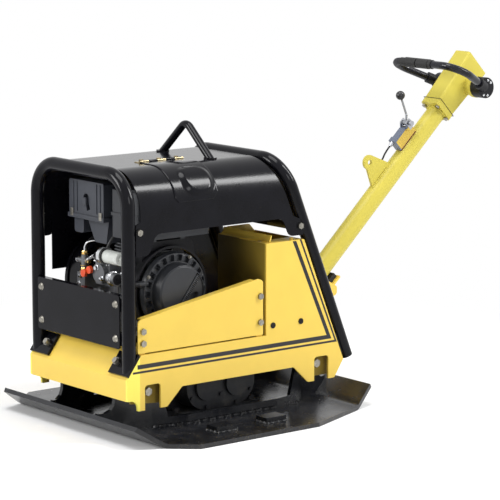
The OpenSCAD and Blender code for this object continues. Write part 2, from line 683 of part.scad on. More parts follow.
// Side view of the hood: curved gussets at both lower corners, rear edge parallel to the rear frame
hood_gap = 16;
hood_bolt = [hood_front_y - 4, hood_edge_z + 8];
rear_bolt = [frame_y(505) - 24, 505];
function hood_rear_y(z) = frame_y(z) - (tube_r + hood_gap) / cos(rear_tilt);
function hood_side() = rounded([[[hood_front_y, hood_top_z + 9], 0],
    [[hood_front_y, hood_edge_z + 34], 0], [[hood_front_y - 14, hood_edge_z + 28], 4],
    [[hood_front_y - 14, 476], 4], [[-298, 476], 20], [[-276, hood_edge_z], 26],
    [[140, hood_edge_z], 26], [[164, 480], 20], [[frame_y(480) - 21, 480], 3], [[frame_y(526) - 21, 526], 3],
    [[hood_rear_y(532), 534], 0], [[hood_rear_y(hood_top_z + 9), hood_top_z + 9], 0]], 6);
module hood() {
    color(black) difference() {
        intersection() {
            front_cut(-345, 260) difference() { hood_arch(0); hood_arch(hood_t); }
            side_cut(-hood_half_w - 5, hood_half_w + 5) polygon(hood_side());
        }
        // access opening under the flap
        intersection() {
            box([hinge_x + 22, flap_y[0] + 16, 560], [hood_half_w + 20, flap_y[1] - 16, hood_top_z + 10]);
            box([shoulder_x - 30, -300, shoulder_z + 45], [shoulder_x + 200, 0, 800]);
        }
        both_sides() for (b = [hood_bolt, rear_bolt])
            rod_x(hood_half_w - 20, hood_half_w + 10, b.x, b.y, screw_r + 0.5);
    }
}
module hood_bolts() {
    both_sides() {
        screw_x(hood_half_w, hood_bolt.x, hood_bolt.y, screw_r, hood_t + 5);
        screw_x(hood_half_w, rear_bolt.x, rear_bolt.y, screw_r, hood_t + 5);
    }
}
module deck_bolts() { color(steel) { frame_bolts(); guard_bolts(); panel_bolts(); hood_bolts(); } }
// Two flat rails under the hood that tie the frames together and carry the bail
module hood_rails() {
    y1 = frame_y(rail_z - 4) - tube_r / cos(rear_tilt) - 0.4;
    color(black) both_sides()
        box([shoulder_x - 27, front_frame_y + tube_r, rail_z - 8], [shoulder_x - 1, y1, rail_z]);
}
// Triangular lifting bail: two legs tangent to a round apex
module lifting_bail() {
    top_r = 26;
    c = bail_h - top_r;
    d = norm([bail_half_w, c]);
    lean = atan2(c, bail_half_w) + asin(top_r / d);
    color(black) translate([0, bail_y, hood_top_z]) {
        difference() {
            union() {
                both_sides() translate([top_r * sin(lean), 0, c + top_r * cos(lean)])
                    rotate([0, 90 + lean, 0])
                        cylinder(h = sqrt(d * d - top_r * top_r) + 14, r = bail_r);
                translate([0, 0, c]) rotate([90, 0, 0]) rotate([0, 0, 90 - lean])
                    rotate_extrude(angle = 2 * lean) translate([top_r, 0]) circle(bail_r);
                both_sides() translate([bail_half_w, 0, -1]) cylinder(h = 5, r = bail_r + 7);
            }
            translate([-200, -50, -40]) cube([400, 100, 40]);
        }
    }
}
// Access flap: a flat strip at the hinge that follows the shoulder down
module flap_outline() {
    r0 = hood_r + pass_gap;
    r1 = r0 + flap_t;
    difference() {
        union() {
            intersection() {
                translate([shoulder_x, shoulder_z]) circle(r1, $fn = 96);
                translate([shoulder_x, shoulder_z]) polygon([[0, 0], [0, 300], [300, 300],
                    [300, 300 * tan(flap_end_angle)]]);
            }
            translate([hinge_x + 6, shoulder_z]) square([shoulder_x - hinge_x - 6, r1]);
        }
        translate([shoulder_x, shoulder_z]) circle(r0, $fn = 96);
        translate([hinge_x - 9, shoulder_z - 10]) square([shoulder_x - hinge_x + 9, r0 + 10]);
    }
}
module hood_flap() {
    knuckle = (flap_y[1] - flap_y[0]) / 5;
    color(black) difference() {
        union() {
            front_cut(flap_y[0], flap_y[1]) flap_outline();
            for (y = [flap_y[0] + knuckle, flap_y[0] + 3 * knuckle])
                rod_y(y + pass_gap, y + knuckle - pass_gap, hinge_x, hinge_z, 3.2);
            for (i = [1, 3]) box([hinge_x, flap_y[0] + i * knuckle + pass_gap, hood_top_z + pass_gap],
                [hinge_x + 8, flap_y[0] + (i + 1) * knuckle - pass_gap, hood_top_z + pass_gap + flap_t]);
        }
        rod_y(flap_y[0] - 1, flap_y[1] + 1, hinge_x, hinge_z, 1.5 + run_gap);
        // slanted lower corner at the rear
        translate([hood_half_w - 40, flap_y[1], shoulder_z + 20]) rotate([45, 0, 0])
            cube([80, 30, 40], center = true);
    }
}
module flap_hinge() {
    knuckle = (flap_y[1] - flap_y[0]) / 5;
    color(steel) {
        rod_y(flap_y[0], flap_y[1], hinge_x, hinge_z, 1.5);
        for (i = [0, 2, 4]) {
            y0 = flap_y[0] + i * knuckle + pass_gap;
            y1 = y0 + knuckle - 2 * pass_gap;
            rod_y(y0, y1, hinge_x, hinge_z, 3.2);
            box([hinge_x - 22, y0, hood_top_z], [hinge_x, y1, hood_top_z + 2]);
            translate([hinge_x - 12, (y0 + y1) / 2, hood_top_z + 2]) cylinder(h = 6, r = 6, $fn = 6);
        }
    }
}

// ---- engine ---------------------------------------------------------------------------------------
case_x = [-105, 96];
case_r = 66;
cyl_z = crank_z + case_r + 2;
fin_gap = 9;
head_z = cyl_z + 6 + fin_count * fin_gap;
cover_h = [30, 28];
module engine_rails() {
    color(black) for (y = [crank_y - 84, crank_y + 52]) difference() {
        box([case_x[0] - 8, y, deck_z], [case_x[1] + 8, y + 32, deck_z + 20]);
        box([case_x[0] - 9, y + 5, deck_z - 1], [case_x[1] + 9, y + 27, deck_z + 14]);
    }
}
module crankcase() {
    z0 = deck_z + 20;
    color(grey) difference() {
        union() {
            box([case_x[0], crank_y - 88, z0], [case_x[1], crank_y + 88, z0 + 14]);
            box([case_x[0] + 8, crank_y - 78, z0 + 13], [case_x[1] - 4, crank_y + 78, 404]);
            rod_x(case_x[0], case_x[1], crank_y, crank_z, case_r);
            box([-66, crank_y - 60, 400], [66, crank_y + 60, cyl_z]);
            for (x = [-70, -30, 10, 50]) box([x, crank_y - 84, z0 + 13], [x + 8, crank_y + 84, 330]);
        }
        rod_x(case_x[0] - 1, case_x[1] + 1, crank_y, crank_z, 17 + run_gap);
        rod_x(case_x[0] + 12, case_x[1] - 12, crank_y, crank_z, case_r - 10);
        box([case_x[0] + 20, crank_y - 66, z0 + 10], [case_x[1] - 16, crank_y + 66, crank_z]);
    }
}
module cylinder_block() {
    for (i = [0:fin_count - 1]) translate([0, crank_y, cyl_z + 6 + i * fin_gap]) linear_extrude(3)
        polygon(rounded([[[-62, -58], 18], [[62, -58], 18], [[62, 58], 18], [[-62, 58], 18]]));
    translate([0, crank_y, cyl_z]) cylinder(h = head_z - cyl_z, r = 47);
}
module cylinder_node() { color(grey) cylinder_block(); }
module rocker_cover() {
    color(black) translate([0, crank_y, head_z]) {
        linear_extrude(cover_h[0])
            polygon(rounded([[[-64, -60], 14], [[64, -60], 14], [[64, 60], 14], [[-64, 60], 14]]));
        translate([0, 0, cover_h[0]]) linear_extrude(cover_h[1])
            polygon(rounded([[[-46, -48], 12], [[46, -48], 12], [[46, 48], 12], [[-46, 48], 12]]));
        for (x = [-54, 54], y = [-50, 50]) translate([x, y, cover_h[0] - 1]) cylinder(h = 10, r = 7, $fn = 6);
    }
}
module fan_housing() {
    x0 = case_x[1];
    color(black) difference() {
        union() {
            rod_x(x0, recoil_x, crank_y, crank_z, recoil_r + 14);
            side_cut(x0 - 26, x0 + 12) polygon(rounded([[[crank_y - 90, crank_z + 40], 4],
                [[crank_y + 96, crank_z + 40], 4],
                [[crank_y + 80, 488], 20], [[crank_y - 80, 488], 20]]));
        }
        rod_x(x0 + 4, recoil_x + 1, crank_y, crank_z, recoil_r + 8);
        rod_x(x0 - 30, x0 + 5, crank_y, crank_z, case_r - 16);
        rod_x(x0 - 30, x0, crank_y, crank_z, case_r + 2);
        side_cut(x0 - 27, x0 + 9) polygon([[crank_y - 84, crank_z + 30], [crank_y + 90, crank_z + 30],
            [crank_y + 74, 484], [crank_y - 74, 484]]);
    }
}
head_top_z = head_z + cover_h[0] + cover_h[1] + pass_gap;
// Starter: a ringed cover with vents, a raised disc split by a slanted groove, and the rope's outlet
recoil_x = case_x[1] + 26;
rope_z = crank_z + 29;
rope_x = recoil_x + 9;
module recoil_starter() {
    disc_x = recoil_x + 50;
    color(grey) difference() {
        union() {
            rod_x(recoil_x, recoil_x + 18, crank_y, crank_z, recoil_r);
            rod_x(recoil_x + 17, recoil_x + 36, crank_y, crank_z, recoil_disc_r + 3);
            rod_x(recoil_x + 35, disc_x, crank_y, crank_z, recoil_disc_r);
            rod_y(crank_y - recoil_r - 10, crank_y - recoil_r + 20, rope_x, rope_z, 8);
        }
        // inside of the cover
        rod_x(recoil_x - 1, recoil_x + 14, crank_y, crank_z, recoil_r - 4);
        rod_x(recoil_x - 1, recoil_x + 32, crank_y, crank_z, recoil_disc_r - 2);
        rod_x(recoil_x - 1, disc_x - 4, crank_y, crank_z, recoil_disc_r - 6);
        rod_y(crank_y - recoil_r - 12, crank_y - recoil_r + 30, rope_x, rope_z, 3.2);
        // air slots round the ring
        for (i = [0:17]) let(a = i * 20 + 8)
            translate([recoil_x + 13, crank_y, crank_z]) rotate([a, 0, 0])
                translate([0, 0, (recoil_r + recoil_disc_r) / 2 + 2]) cube([20, 15, 14], center = true);
        // slanted groove across the disc
        translate([disc_x, crank_y + 12, crank_z]) rotate([-38, 0, 0]) cube([6, 4, 200], center = true);
        // recess for the grip
        translate([disc_x, crank_y + 40, crank_z - 18]) rotate([-38, 0, 0]) cube([6, 16, 30], center = true);
    }
}
// Grip and the straight end of its rope
module starter_grip() {
    y0 = crank_y - recoil_r - 11;
    color(black) {
        rod_y(y0 - 24, y0, rope_x, rope_z, 9);
        rod([rope_x, y0 - 20, rope_z - 26], [rope_x, y0 - 20, rope_z + 26], 9);
        rod_y(y0 - 1, crank_y - 30, rope_x, rope_z, 2.6);
    }
}
module air_filter() {
    color(grey) difference() {
        union() {
            front_cut(-300, -224) polygon(rounded([[[-131, 546], 4], [[24, 546], 4],
                [[24, 639], 6], [[-131, 639], 6]]));
            front_cut(-303, -221) polygon([[-134, 538], [27, 538], [27, 549], [-134, 549]]);
            front_cut(-286, -226) polygon(rounded([[[-128, 496], 8], [[-86, 496], 8], [[-86, 539], 0],
                [[-128, 539], 0]]));
            // duct to the cylinder head
            front_cut(-282, -224) polygon([[-74, 539], [22, 539], [10, 478], [-40, 478]]);
            box([-62, -225, head_z - 46], [22, crank_y - 58, head_z - 16]);
        }
        rod_y(-301, -288, -54, 594, 12);
        front_cut(-301, -290) polygon([[-60, 592], [-48, 596], [-36, 566], [-50, 560]]);
    }
}
module fuel_tank() {
    plan = rounded([[[44, -292], 12], [[168, -292], 16], [[168, -58], 16], [[72, -58], 10], [[72, -222], 6],
        [[44, -222], 6]]);
    color(grey) {
        translate([0, 0, 504]) linear_extrude(124) polygon(plan);
        translate([0, 0, 561]) linear_extrude(8) tank_seam();
        translate([0, 0, 627]) linear_extrude(6) polygon(rounded([[[52, -284], 10], [[160, -284], 12],
            [[160, -66], 12], [[80, -66], 8], [[80, -230], 6], [[52, -230], 6]]));
        translate([132, -120, 632]) cylinder(h = 20, r = 24);
        // straps down to the fan housing
        for (y = [-210, -116]) box([84, y, 488], [110, y + 16, 505]);
    }
}
// The tank's seam: the same plan, 3 mm proud
module tank_seam() {
    polygon(rounded([[[41, -295], 12], [[171, -295], 16], [[171, -55], 16], [[69, -55], 10], [[69, -219], 6],
        [[41, -219], 6]]));
}
muffler_z = head_z + 15;
module muffler() {
    color("dimgray") {
        rod_x(-78, 60, crank_y + 112, muffler_z, 46);
        rod_x(-82, -77, crank_y + 112, muffler_z, 48);
        rod_x(59, 64, crank_y + 112, muffler_z, 48);
        rod_y(crank_y + 60, crank_y + 72, -20, muffler_z, 14);
        rod([-40, crank_y + 112, muffler_z + 40], [-40, crank_y + 150, muffler_z + 72], 14);
    }
}
filter_y = -315;
filter_z = 456;
module fuel_filter() {
    color("lightgray") {
        rod_x(58, 122, filter_y, filter_z, 17.5);
        rod_x(121, 128, filter_y, filter_z, 8);
        rod_x(50, 58, filter_y, filter_z, 22.5);
        rod_x(38, 50, filter_y, filter_z, 21);
        box([28, filter_y + 2, 436], [50, -248, 450]);
    }
}
module injection_pump() {
    color(steel) {
        box([-20, -296, 372], [44, crank_y - 78, 436]);
        rod_y(-310, -290, 12, 404, 26);
        box([-98, -300, 352], [-64, crank_y - 78, 394]);
        rod_x(60, 92, -306, 398, 17);
        box([44, -300, 380], [62, crank_y - 78, 414]);
        rod([78, -300, 300], [78, -300, 384], 7);
        rod_y(tap_y + pass_gap, crank_y - 78, tap.x, tap.y, 5);
    }
    color([0.75, 0.6, 0.3]) {
        translate([-78, -290, 393]) cylinder(h = 46, r = 9);
        translate([-78, -290, 438]) cylinder(h = 12, r = 6);
        rod_x(-104, -60, -290, 424, 7);
    }
}
// Wing tap on a short stem ahead of the pump
tap = [-32, 404];
tap_y = -312;
module fuel_tap() {
    color([0.95, 0.35, 0.2]) {
        rod_y(-325, tap_y, tap.x, tap.y, 6);
        for (s = [-1, 1]) rod_y(tap_y - 8, tap_y, tap.x + s * 13, tap.y + s * 6, 10);
    }
}
module decompression_lever() {
    z0 = head_top_z;
    color(steel) {
        translate([-20, crank_y - 20, z0]) cylinder(h = 8, r = 8);
        rod([-20, crank_y - 20, z0 + 5], [-20, crank_y - 54, z0 + 11], 3.5);
        translate([-20, crank_y - 56, z0 + 11]) sphere(6, $fn = 24);
    }
}
module crankshaft() {
    color(steel) {
        rod_x(pulley_x - 4, recoil_x + 6, crank_y, crank_z, 17);
        rod_x(case_x[1] + 8, case_x[1] + 20, crank_y, crank_z, recoil_r - 6);
        rod_x(-60, 50, crank_y - 18, crank_z, 34);
    }
}
module clutch_pulley() {
    color(grey) {
        pulley(crank_y, crank_z, clutch_r, 17, clutch_r + 8);
        difference() {
            rod_x(pulley_x + pulley_w - eps, pulley_x + pulley_w + 20, crank_y, crank_z, clutch_r + 12);
            rod_x(pulley_x + pulley_w - 1, pulley_x + pulley_w + 30, crank_y, crank_z, 17);
        }
    }
}
module belt_loop(d) {
    hull() {
        translate([crank_y, crank_z]) circle(clutch_r + d);
        translate([-gear_r, shaft_z]) circle(pulley_r + d);
    }
}
module v_belt() {
    mid = pulley_x + pulley_w / 2;
    color("black") side_cut(mid - belt_w / 2, mid + belt_w / 2) difference() {
        belt_loop(belt_half);
        belt_loop(-belt_half);
    }
}
module guard_shape(d) {
    translate([crank_y, crank_z]) circle(120 - d, $fn = 96);
    translate([crank_y - 120 + d, deck_z - d]) square([240 - 2 * d, crank_z - deck_z + d]);
}
// Box over the pulleys, with a flat sheet that closes the left side above the guard
cover_z = hood_edge_z + 15;
function cover_rear_y(z) = frame_y(z) - (tube_r + 2) / cos(rear_tilt);
module belt_guard() {
    box_x = pulley_x - 20;
    sheet_x = hood_t - hood_half_w;
    guard_top = 384;
    color(black) {
        difference() {
            union() {
                side_cut(box_x, box_x + 65) intersection() {
                    guard_shape(0);
                    translate([-400, deck_z]) square([500, 400]);
                }
                side_cut(box_x + 9, box_x + 17) intersection() {
                    guard_shape(-4);
                    translate([-400, deck_z]) square([500, 400]);
                }
            }
            side_cut(box_x + 3, box_x + 70) guard_shape(3);
        }
        side_cut(sheet_x, sheet_x + hood_t) difference() {
            polygon([[-300, cover_z], [-300, guard_top], [79, guard_top], [79, deck_z],
                [edge_y(deck_z) - wall_dy - 2, deck_z],
                [edge_y(rear_wall_top_z) - wall_dy - 2, rear_wall_top_z + 2],
                [cover_rear_y(rear_wall_top_z + 2), rear_wall_top_z + 2], [cover_rear_y(478), 478],
                [hood_rear_y(478), 478], [hood_rear_y(cover_z), cover_z]]);
            // slots that let warm air out
            for (i = [0:6]) translate([-60 + i * 26, 410]) square([6, 80]);
        }
        for (y = [crank_y - 70, crank_y + 70]) rod_x(sheet_x + 1, box_x + 1, y, crank_z + 75, 7);
    }
}

// ---- handle ---------------------------------------------------------------------------------------
// Local frame: Z runs up the tube, Y points to its underside
module at_handle() { translate([0, pivot_y, pivot_z]) rotate([handle_angle - 90, 0, 0]) children(); }
module handle_pin() {
    color(steel) {
        rod_x(-52, 52, pivot_y, pivot_z, pin_r);
        rod_x(-56, -46, pivot_y, pivot_z, pin_r + 5);
        rod_x(46, 54, pivot_y, pivot_z, pin_r + 4);
    }
}
module handle_stop() {
    color("black") at_handle() box([-26, handle_r + pass_gap, 44], [26, handle_r + 14, 76]);
}
// Plan of the head flange: half width, upper edge and lower edge
flange = [35, -43, 31];
head_z0 = handle_len + flange_t;
bolt_x = 27;
bolt_y = [-29, 21];
module head_bolt_places() { for (x = [-bolt_x, bolt_x], y = bolt_y) translate([x, y]) children(); }
module plan_slab(z, h, half, r) {
    translate([0, 0, z]) linear_extrude(h) polygon(rounded([[[-half.x, half.y], r], [[half.x, half.y], r],
        [[half.x, half.z], r], [[-half.x, half.z], r]], 4));
}
module handle_tube() {
    color(yellow) at_handle() difference() {
        union() {
            cylinder(h = handle_len + 1, r = handle_r);
            rod_x(-34 + pass_gap, 34 - pass_gap, 0, 0, 32);
            plan_slab(handle_len, flange_t, flange, 8);
            eye_plate();
        }
        difference() {
            translate([0, 0, 40]) cylinder(h = handle_len + flange_t, r = handle_r - handle_wall);
            rod_x(-40, 40, 0, 0, 36);
        }
        rod_x(-40, 40, 0, 0, pin_r + run_gap);
        rod_x(-10, 10, -eye_n, eye_s, eye_r);
        head_bolt_places() translate([0, 0, handle_len - 1]) cylinder(h = flange_t + 2, r = 4.5);
        // entry of the throttle cable
        rod(cable_in, cable_mid, cable_r + 1.5);
    }
}
eye_n = 86;
module eye_plate() {
    side_cut(-4, 4) union() {
        polygon([[-handle_r + 3, eye_s - 42], [-handle_r + 3, eye_s + 50], [-handle_r, eye_s + 50],
            [-eye_n - 4, eye_s + 21], [-eye_n - 20, eye_s - 7]]);
        translate([-eye_n, eye_s]) circle(21);
    }
}
hub_s = head_z0 + hub_up;
hub_n = 18;
shaft_hole = 11;
hub_in = 62;
hub_out = 98;
module handle_head() {
    low = [34, -42, 28];
    high = [31, -56, 39];
    wall = [5, -5, 5];
    color(yellow) at_handle() difference() {
        union() {
            hull() { plan_slab(head_z0, 1, low, 6); plan_slab(head_z0 + head_len - 1, 1, high, 6); }
            // bosses for the bar's shaft, each with a broader rim
            rod_x(-hub_in + 6, hub_in - 6, hub_n, hub_s, 27);
            for (s = [-1, 1]) rod_x(s * (hub_in - 6) - 6, s * (hub_in - 6) + 6, hub_n, hub_s, 31);
        }
        hull() {
            plan_slab(head_z0 + 10, 1, low - wall, 4);
            plan_slab(head_z0 + head_len - 7, 1, high - wall, 4);
        }
        rod_x(-hub_in - 1, hub_in + 1, hub_n, hub_s, shaft_hole);
        head_bolt_places() translate([0, 0, head_z0 - 1]) cylinder(h = 12, r = 4.5);
    }
}
module head_bolts() {
    color(steel) at_handle() head_bolt_places() {
        translate([0, 0, handle_len - 6]) cylinder(h = flange_t + 16, r = 4);
        translate([0, 0, handle_len - 6]) cylinder(h = 6, r = 6.2);
    }
}
// Control bar: two arms that lean out, joined by a grip; its shaft turns in the head
grip_bend_r = 52;
arm_x = 90;
arm_lean = atan2(bar_half_w - arm_x, bar_reach);
// Length from the corner to where the bend begins
bend_start = grip_bend_r / tan((90 - arm_lean) / 2);
function on_arm(t) = [arm_x + t * sin(arm_lean), -t * cos(arm_lean), 0];
// The right half of the tube's line in its own plane: the shaft's axis along X at the origin, the grip at -Y
bar_half = concat([on_arm(22)], [for (i = [0:10]) let(a = arm_lean - (90 + arm_lean) * i / 10)
    [bar_half_w - bend_start + grip_bend_r * cos(a), grip_bend_r - bar_reach + grip_bend_r * sin(a), 0]]);
bar_line = concat(bar_half, [for (i = [len(bar_half):-1:1]) [-bar_half[i - 1].x, bar_half[i - 1].y, 0]]);
bar_lift = 24;
module at_hub() {
    translate([0, pivot_y + hub_s * cos(handle_angle) + hub_n * sin(handle_angle),
        pivot_z + hub_s * sin(handle_angle) - hub_n * cos(handle_angle)]) children();
}
module control_bar() {
    color(black) at_hub() rotate([-bar_lift, 0, 0]) sweep(bar_line, bar_r, 28, [0, 0, 1]);
    color(steel) at_hub() rod_x(-hub_out + 8, hub_out - 8, 0, 0, shaft_hole - run_gap);
}
module bar_hubs() {
    color(black) at_hub() both_sides() difference() {
        union() {
            rod_x(hub_in + pass_gap, hub_out, 0, 0, 30);
            rotate([-bar_lift, 0, 0]) rod(on_arm(8), on_arm(48), bar_r + 5);
        }
        rod_x(hub_in - 2, hub_out - 8, 0, 0, shaft_hole - run_gap);
        rotate([-bar_lift, 0, 0]) rod(on_arm(22), on_arm(60), bar_r);
    }
}
// Rubber sleeves with thick cuffs, a little off the middle as fitted
sleeves = [[-64, -16], [-12, 34]];
module bar_sleeves() {
    color(black) at_hub() rotate([-bar_lift, 0, 0]) difference() {
        union() {
            for (s = sleeves) rod_x(s.x, s.y, -bar_reach, 0, bar_r + 3.2);
            rod_x(bend_start - bar_half_w, sleeves[0].x + 1, -bar_reach, 0, bar_r + 1.4);
            rod_x(sleeves[1].y - 1, sleeves[1].y + 13, -bar_reach, 0, bar_r + 2);
        }
        rod_x(-bar_half_w, bar_half_w, -bar_reach, 0, bar_r);
    }
}

// Throttle: a block on the tube with a grey side plate and a forked end for the lever
thr = [handle_len - 171, handle_len - 103];
lever_s = handle_len - 99;
lever_n = 64;
module throttle_base() {
    at_handle() {
        color(yellow) difference() {
            side_cut(-9, 11) polygon(rounded([[[-handle_r + 4, thr[0]], 0], [[-handle_r + 4, thr[1] + 8], 0],
                [[-46, thr[1] + 8], 10], [[-59, thr[1] - 18], 12], [[-59, thr[0]], 2]]));
            cylinder(h = handle_len, r = handle_r);
        }
        // cover strip bent over the outer face, and the end plate
        color(grey) {
            side_cut(-12, 11) polygon([[-58, thr[0] - 3], [-59, thr[1] - 18], [-47, thr[1] + 6],
                [-51, thr[1] + 9], [-64, thr[1] - 17], [-64, thr[0] + 16], [-68, thr[0] + 12],
                [-68, thr[0] - 3]]);
            box([-10, -64, thr[0] - 3], [12, -handle_r - 1, thr[0] + 1]);
        }
        color(steel) {
            // fork that carries the lever's pin
            for (s = [-1, 1]) side_cut(s > 0 ? 10 : -14, s > 0 ? 14 : -10) difference() {
                polygon([[-46, thr[1] - 6], [-50, thr[1] + 12], [-lever_n + 7, lever_s + 11],
                    [-lever_n - 10, lever_s + 8], [-lever_n - 10, lever_s - 8], [-56, thr[1] - 18]]);
                translate([-lever_n, lever_s]) circle(3);
            }
            rod_x(-18, 20, -lever_n, lever_s, 3);
            translate([0, -61, thr[0] - 13]) cylinder(h = 11, r = 6);
            translate([0, -61, thr[0] - 17]) cylinder(h = 5, r = 4);
        }
        color(black) rod_x(19, 25, -lever_n, lever_s, 7);
    }
}
knob = [37, 74];
module throttle_lever() {
    tip = [0, -lever_n - knob[1], lever_s + knob[0]];
    elbow = [0, -lever_n - 16, lever_s + 15];
    at_handle() {
        color(steel) difference() {
            union() {
                rod_x(-9.7, 9.7, -lever_n, lever_s, 8);
                rod([0, -lever_n, lever_s], elbow, 3);
                translate(elbow) sphere(4, $fn = 24);
                rod(elbow, tip, 3);
            }
            rod_x(-20, 20, -lever_n, lever_s, 3 + run_gap);
        }
        color("black") translate(tip) sphere(13, $fn = 40);
    }
}
// Cable: from the throttle's gland past the eye plate and into the tube, then down to the hub
cable_in = [-13, -33, 402];
cable_mid = [-13, -9, 352];
cable_route = [[0, -61, 473], [-1, -60, 461], [-4, -56, 447], [-8, -48, 431], [-11, -40, 416], cable_in,
    [-13, -21, 377], cable_mid, [-12, -4, 330], [-8, 0, 300], [-4, 0, 240], [0, 0, 180], [0, 0, 120],
    [0, 0, 60]];
function ring_at(pts, i, r, n, side) =
    let(a = pts[max(i - 1, 0)], b = pts[min(i + 1, len(pts) - 1)], t = unit(b - a),
        u = unit(cross(t, side)), v = cross(t, u))
    [for (k = [0:n - 1]) pts[i] + r * (cos(360 * k / n) * u + sin(360 * k / n) * v)];
module sweep(pts, r, n = 8, side = [1, 0.2, 0]) {
    m = len(pts);
    faces = concat(
        [for (i = [0:m - 2], k = [0:n - 1]) let(a = i * n + k, b = i * n + (k + 1) % n)
            each [[a, b + n, b], [a, a + n, b + n]]],
        [[for (k = [0:n - 1]) k]], [[for (k = [n - 1:-1:0]) (m - 1) * n + k]]);
    polyhedron([for (i = [0:m - 1]) each ring_at(pts, i, r, n, side)], faces);
}
module throttle_cable() { color("black") at_handle() sweep(cable_route, cable_r); }

base_plate();
plate_webs();
exciter_housing();
exciter_covers();
exciter_bearings();
front_eccentric();
rear_eccentric();
front_gear();
rear_gear();
exciter_pulley();
rubber_buffers();
chassis();
right_side();
left_side();
buffer_plates();
handle_bracket();
buffer_bolts();
rear_housing();
housing_plugs();
right_guard();
left_guard();
front_frame();
rear_frame();
rear_panel();
deck_bolts();
front_panel();
hood();
hood_rails();
lifting_bail();
hood_flap();
flap_hinge();
engine_rails();
crankcase();
cylinder_node();  // cylinder
rocker_cover();
fan_housing();
recoil_starter();
starter_grip();
air_filter();
fuel_tank();
muffler();
fuel_filter();
injection_pump();
fuel_tap();
decompression_lever();
crankshaft();
clutch_pulley();
v_belt();
belt_guard();
handle_pin();
handle_stop();
handle_tube();
throttle_base();
throttle_lever();
throttle_cable();
handle_head();
head_bolts();
control_bar();
bar_hubs();
bar_sleeves();
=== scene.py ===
"""Dressed model of a reversible plate compactor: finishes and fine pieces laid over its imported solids."""

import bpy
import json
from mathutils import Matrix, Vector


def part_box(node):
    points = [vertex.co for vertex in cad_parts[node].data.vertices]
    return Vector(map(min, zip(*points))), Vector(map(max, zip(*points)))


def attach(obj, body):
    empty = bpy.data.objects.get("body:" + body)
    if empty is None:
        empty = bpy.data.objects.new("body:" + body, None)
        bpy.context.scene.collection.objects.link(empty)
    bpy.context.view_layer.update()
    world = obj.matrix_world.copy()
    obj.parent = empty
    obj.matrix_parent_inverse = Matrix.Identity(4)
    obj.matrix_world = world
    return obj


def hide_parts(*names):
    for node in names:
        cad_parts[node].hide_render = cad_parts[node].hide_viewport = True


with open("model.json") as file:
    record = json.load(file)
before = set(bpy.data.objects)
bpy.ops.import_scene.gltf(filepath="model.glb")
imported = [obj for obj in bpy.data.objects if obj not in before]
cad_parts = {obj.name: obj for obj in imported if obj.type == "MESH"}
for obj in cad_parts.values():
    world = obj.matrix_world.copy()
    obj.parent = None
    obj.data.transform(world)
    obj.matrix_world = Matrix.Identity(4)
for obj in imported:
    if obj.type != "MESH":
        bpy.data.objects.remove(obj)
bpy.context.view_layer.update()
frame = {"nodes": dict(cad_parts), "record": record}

import json
import math

import bmesh
import bpy
import numpy as np
from bpy.props import FloatProperty, FloatVectorProperty, IntProperty, PointerProperty
from mathutils import Vector

bl_info = {
    "name": "Plate Compactor",
    "version": (1, 0, 0),
    "blender": (4, 5, 0),
    "location": "View3D > Sidebar > Compactor",
    "description": "Dresses the solids of a plate compactor with finishes and fine pieces",
    "category": "Object",
}

NODES = frame["nodes"]
SLOT_OF = {part["node"]: part["material_slot"] for part in frame["record"]["subparts"]}
PAINTS = {}  # every finish by its key, filled by the step that makes them

# the handle's line in the side plane: its pin, in metres, and its rise above level
PIN_Y, PIN_Z, RISE = 0.412, 0.288, math.radians(43.3)
TUBE_RADIUS = 0.0275
# the line that the hood's shoulder is bent round
SHOULDER_X, SHOULDER_Z = 0.112, 0.583
# where the beads lie on the sole plate
PLATE_TOP = 0.0125


# ---- meshes from arrays ---------------------------------------------------------------------------
def unit(v):
    """v divided by its length, along the last axis."""
    v = np.asarray(v, float)
    return v / np.maximum(np.linalg.norm(v, axis=-1, keepdims=True), 1e-12)


def ease(v, low, high):
    """0 below low, 1 above high and t * t * (3 - 2 * t) between, t being the share of the way."""
    t = np.clip((v - low) / (high - low), 0, 1)
    return t * t * (3 - 2 * t)


def quads(nu, nv, wrap_u=False, wrap_v=False):
    """The faces of a grid of nu by nv points: each point with its next along u, along both, and along v."""
    i = np.arange(nu if wrap_u else nu - 1)[:, None]
    j = np.arange(nv if wrap_v else nv - 1)[None, :]
    k, m = (i + 1) % nu, (j + 1) % nv
    return np.stack([i * nv + j, k * nv + j, k * nv + m, i * nv + m], -1).reshape(-1, 4)


def join(*shapes):
    """Several (points, [face arrays]) as one."""
    points, faces, base = [], [], 0
    for p, fs in shapes:
        points.append(p)
        faces += [np.asarray(f) + base for f in fs]
        base += len(p)
    return np.concatenate(points), faces


def place(shape, origin, axis=(0, 0, 1), side=(1, 0, 0)):
    """A shape made about Z, moved so that Z lies along axis and X as near side as it can."""
    z = unit(axis)
    x = np.asarray(side, float)
    x = unit(x - z * (x @ z)) if np.linalg.norm(np.cross(x, z)) > 1e-6 else unit(np.cross(z, (0, 1, 0.3)))
    return shape[0] @ np.stack([x, np.cross(z, x), z]) + np.asarray(origin, float), shape[1]


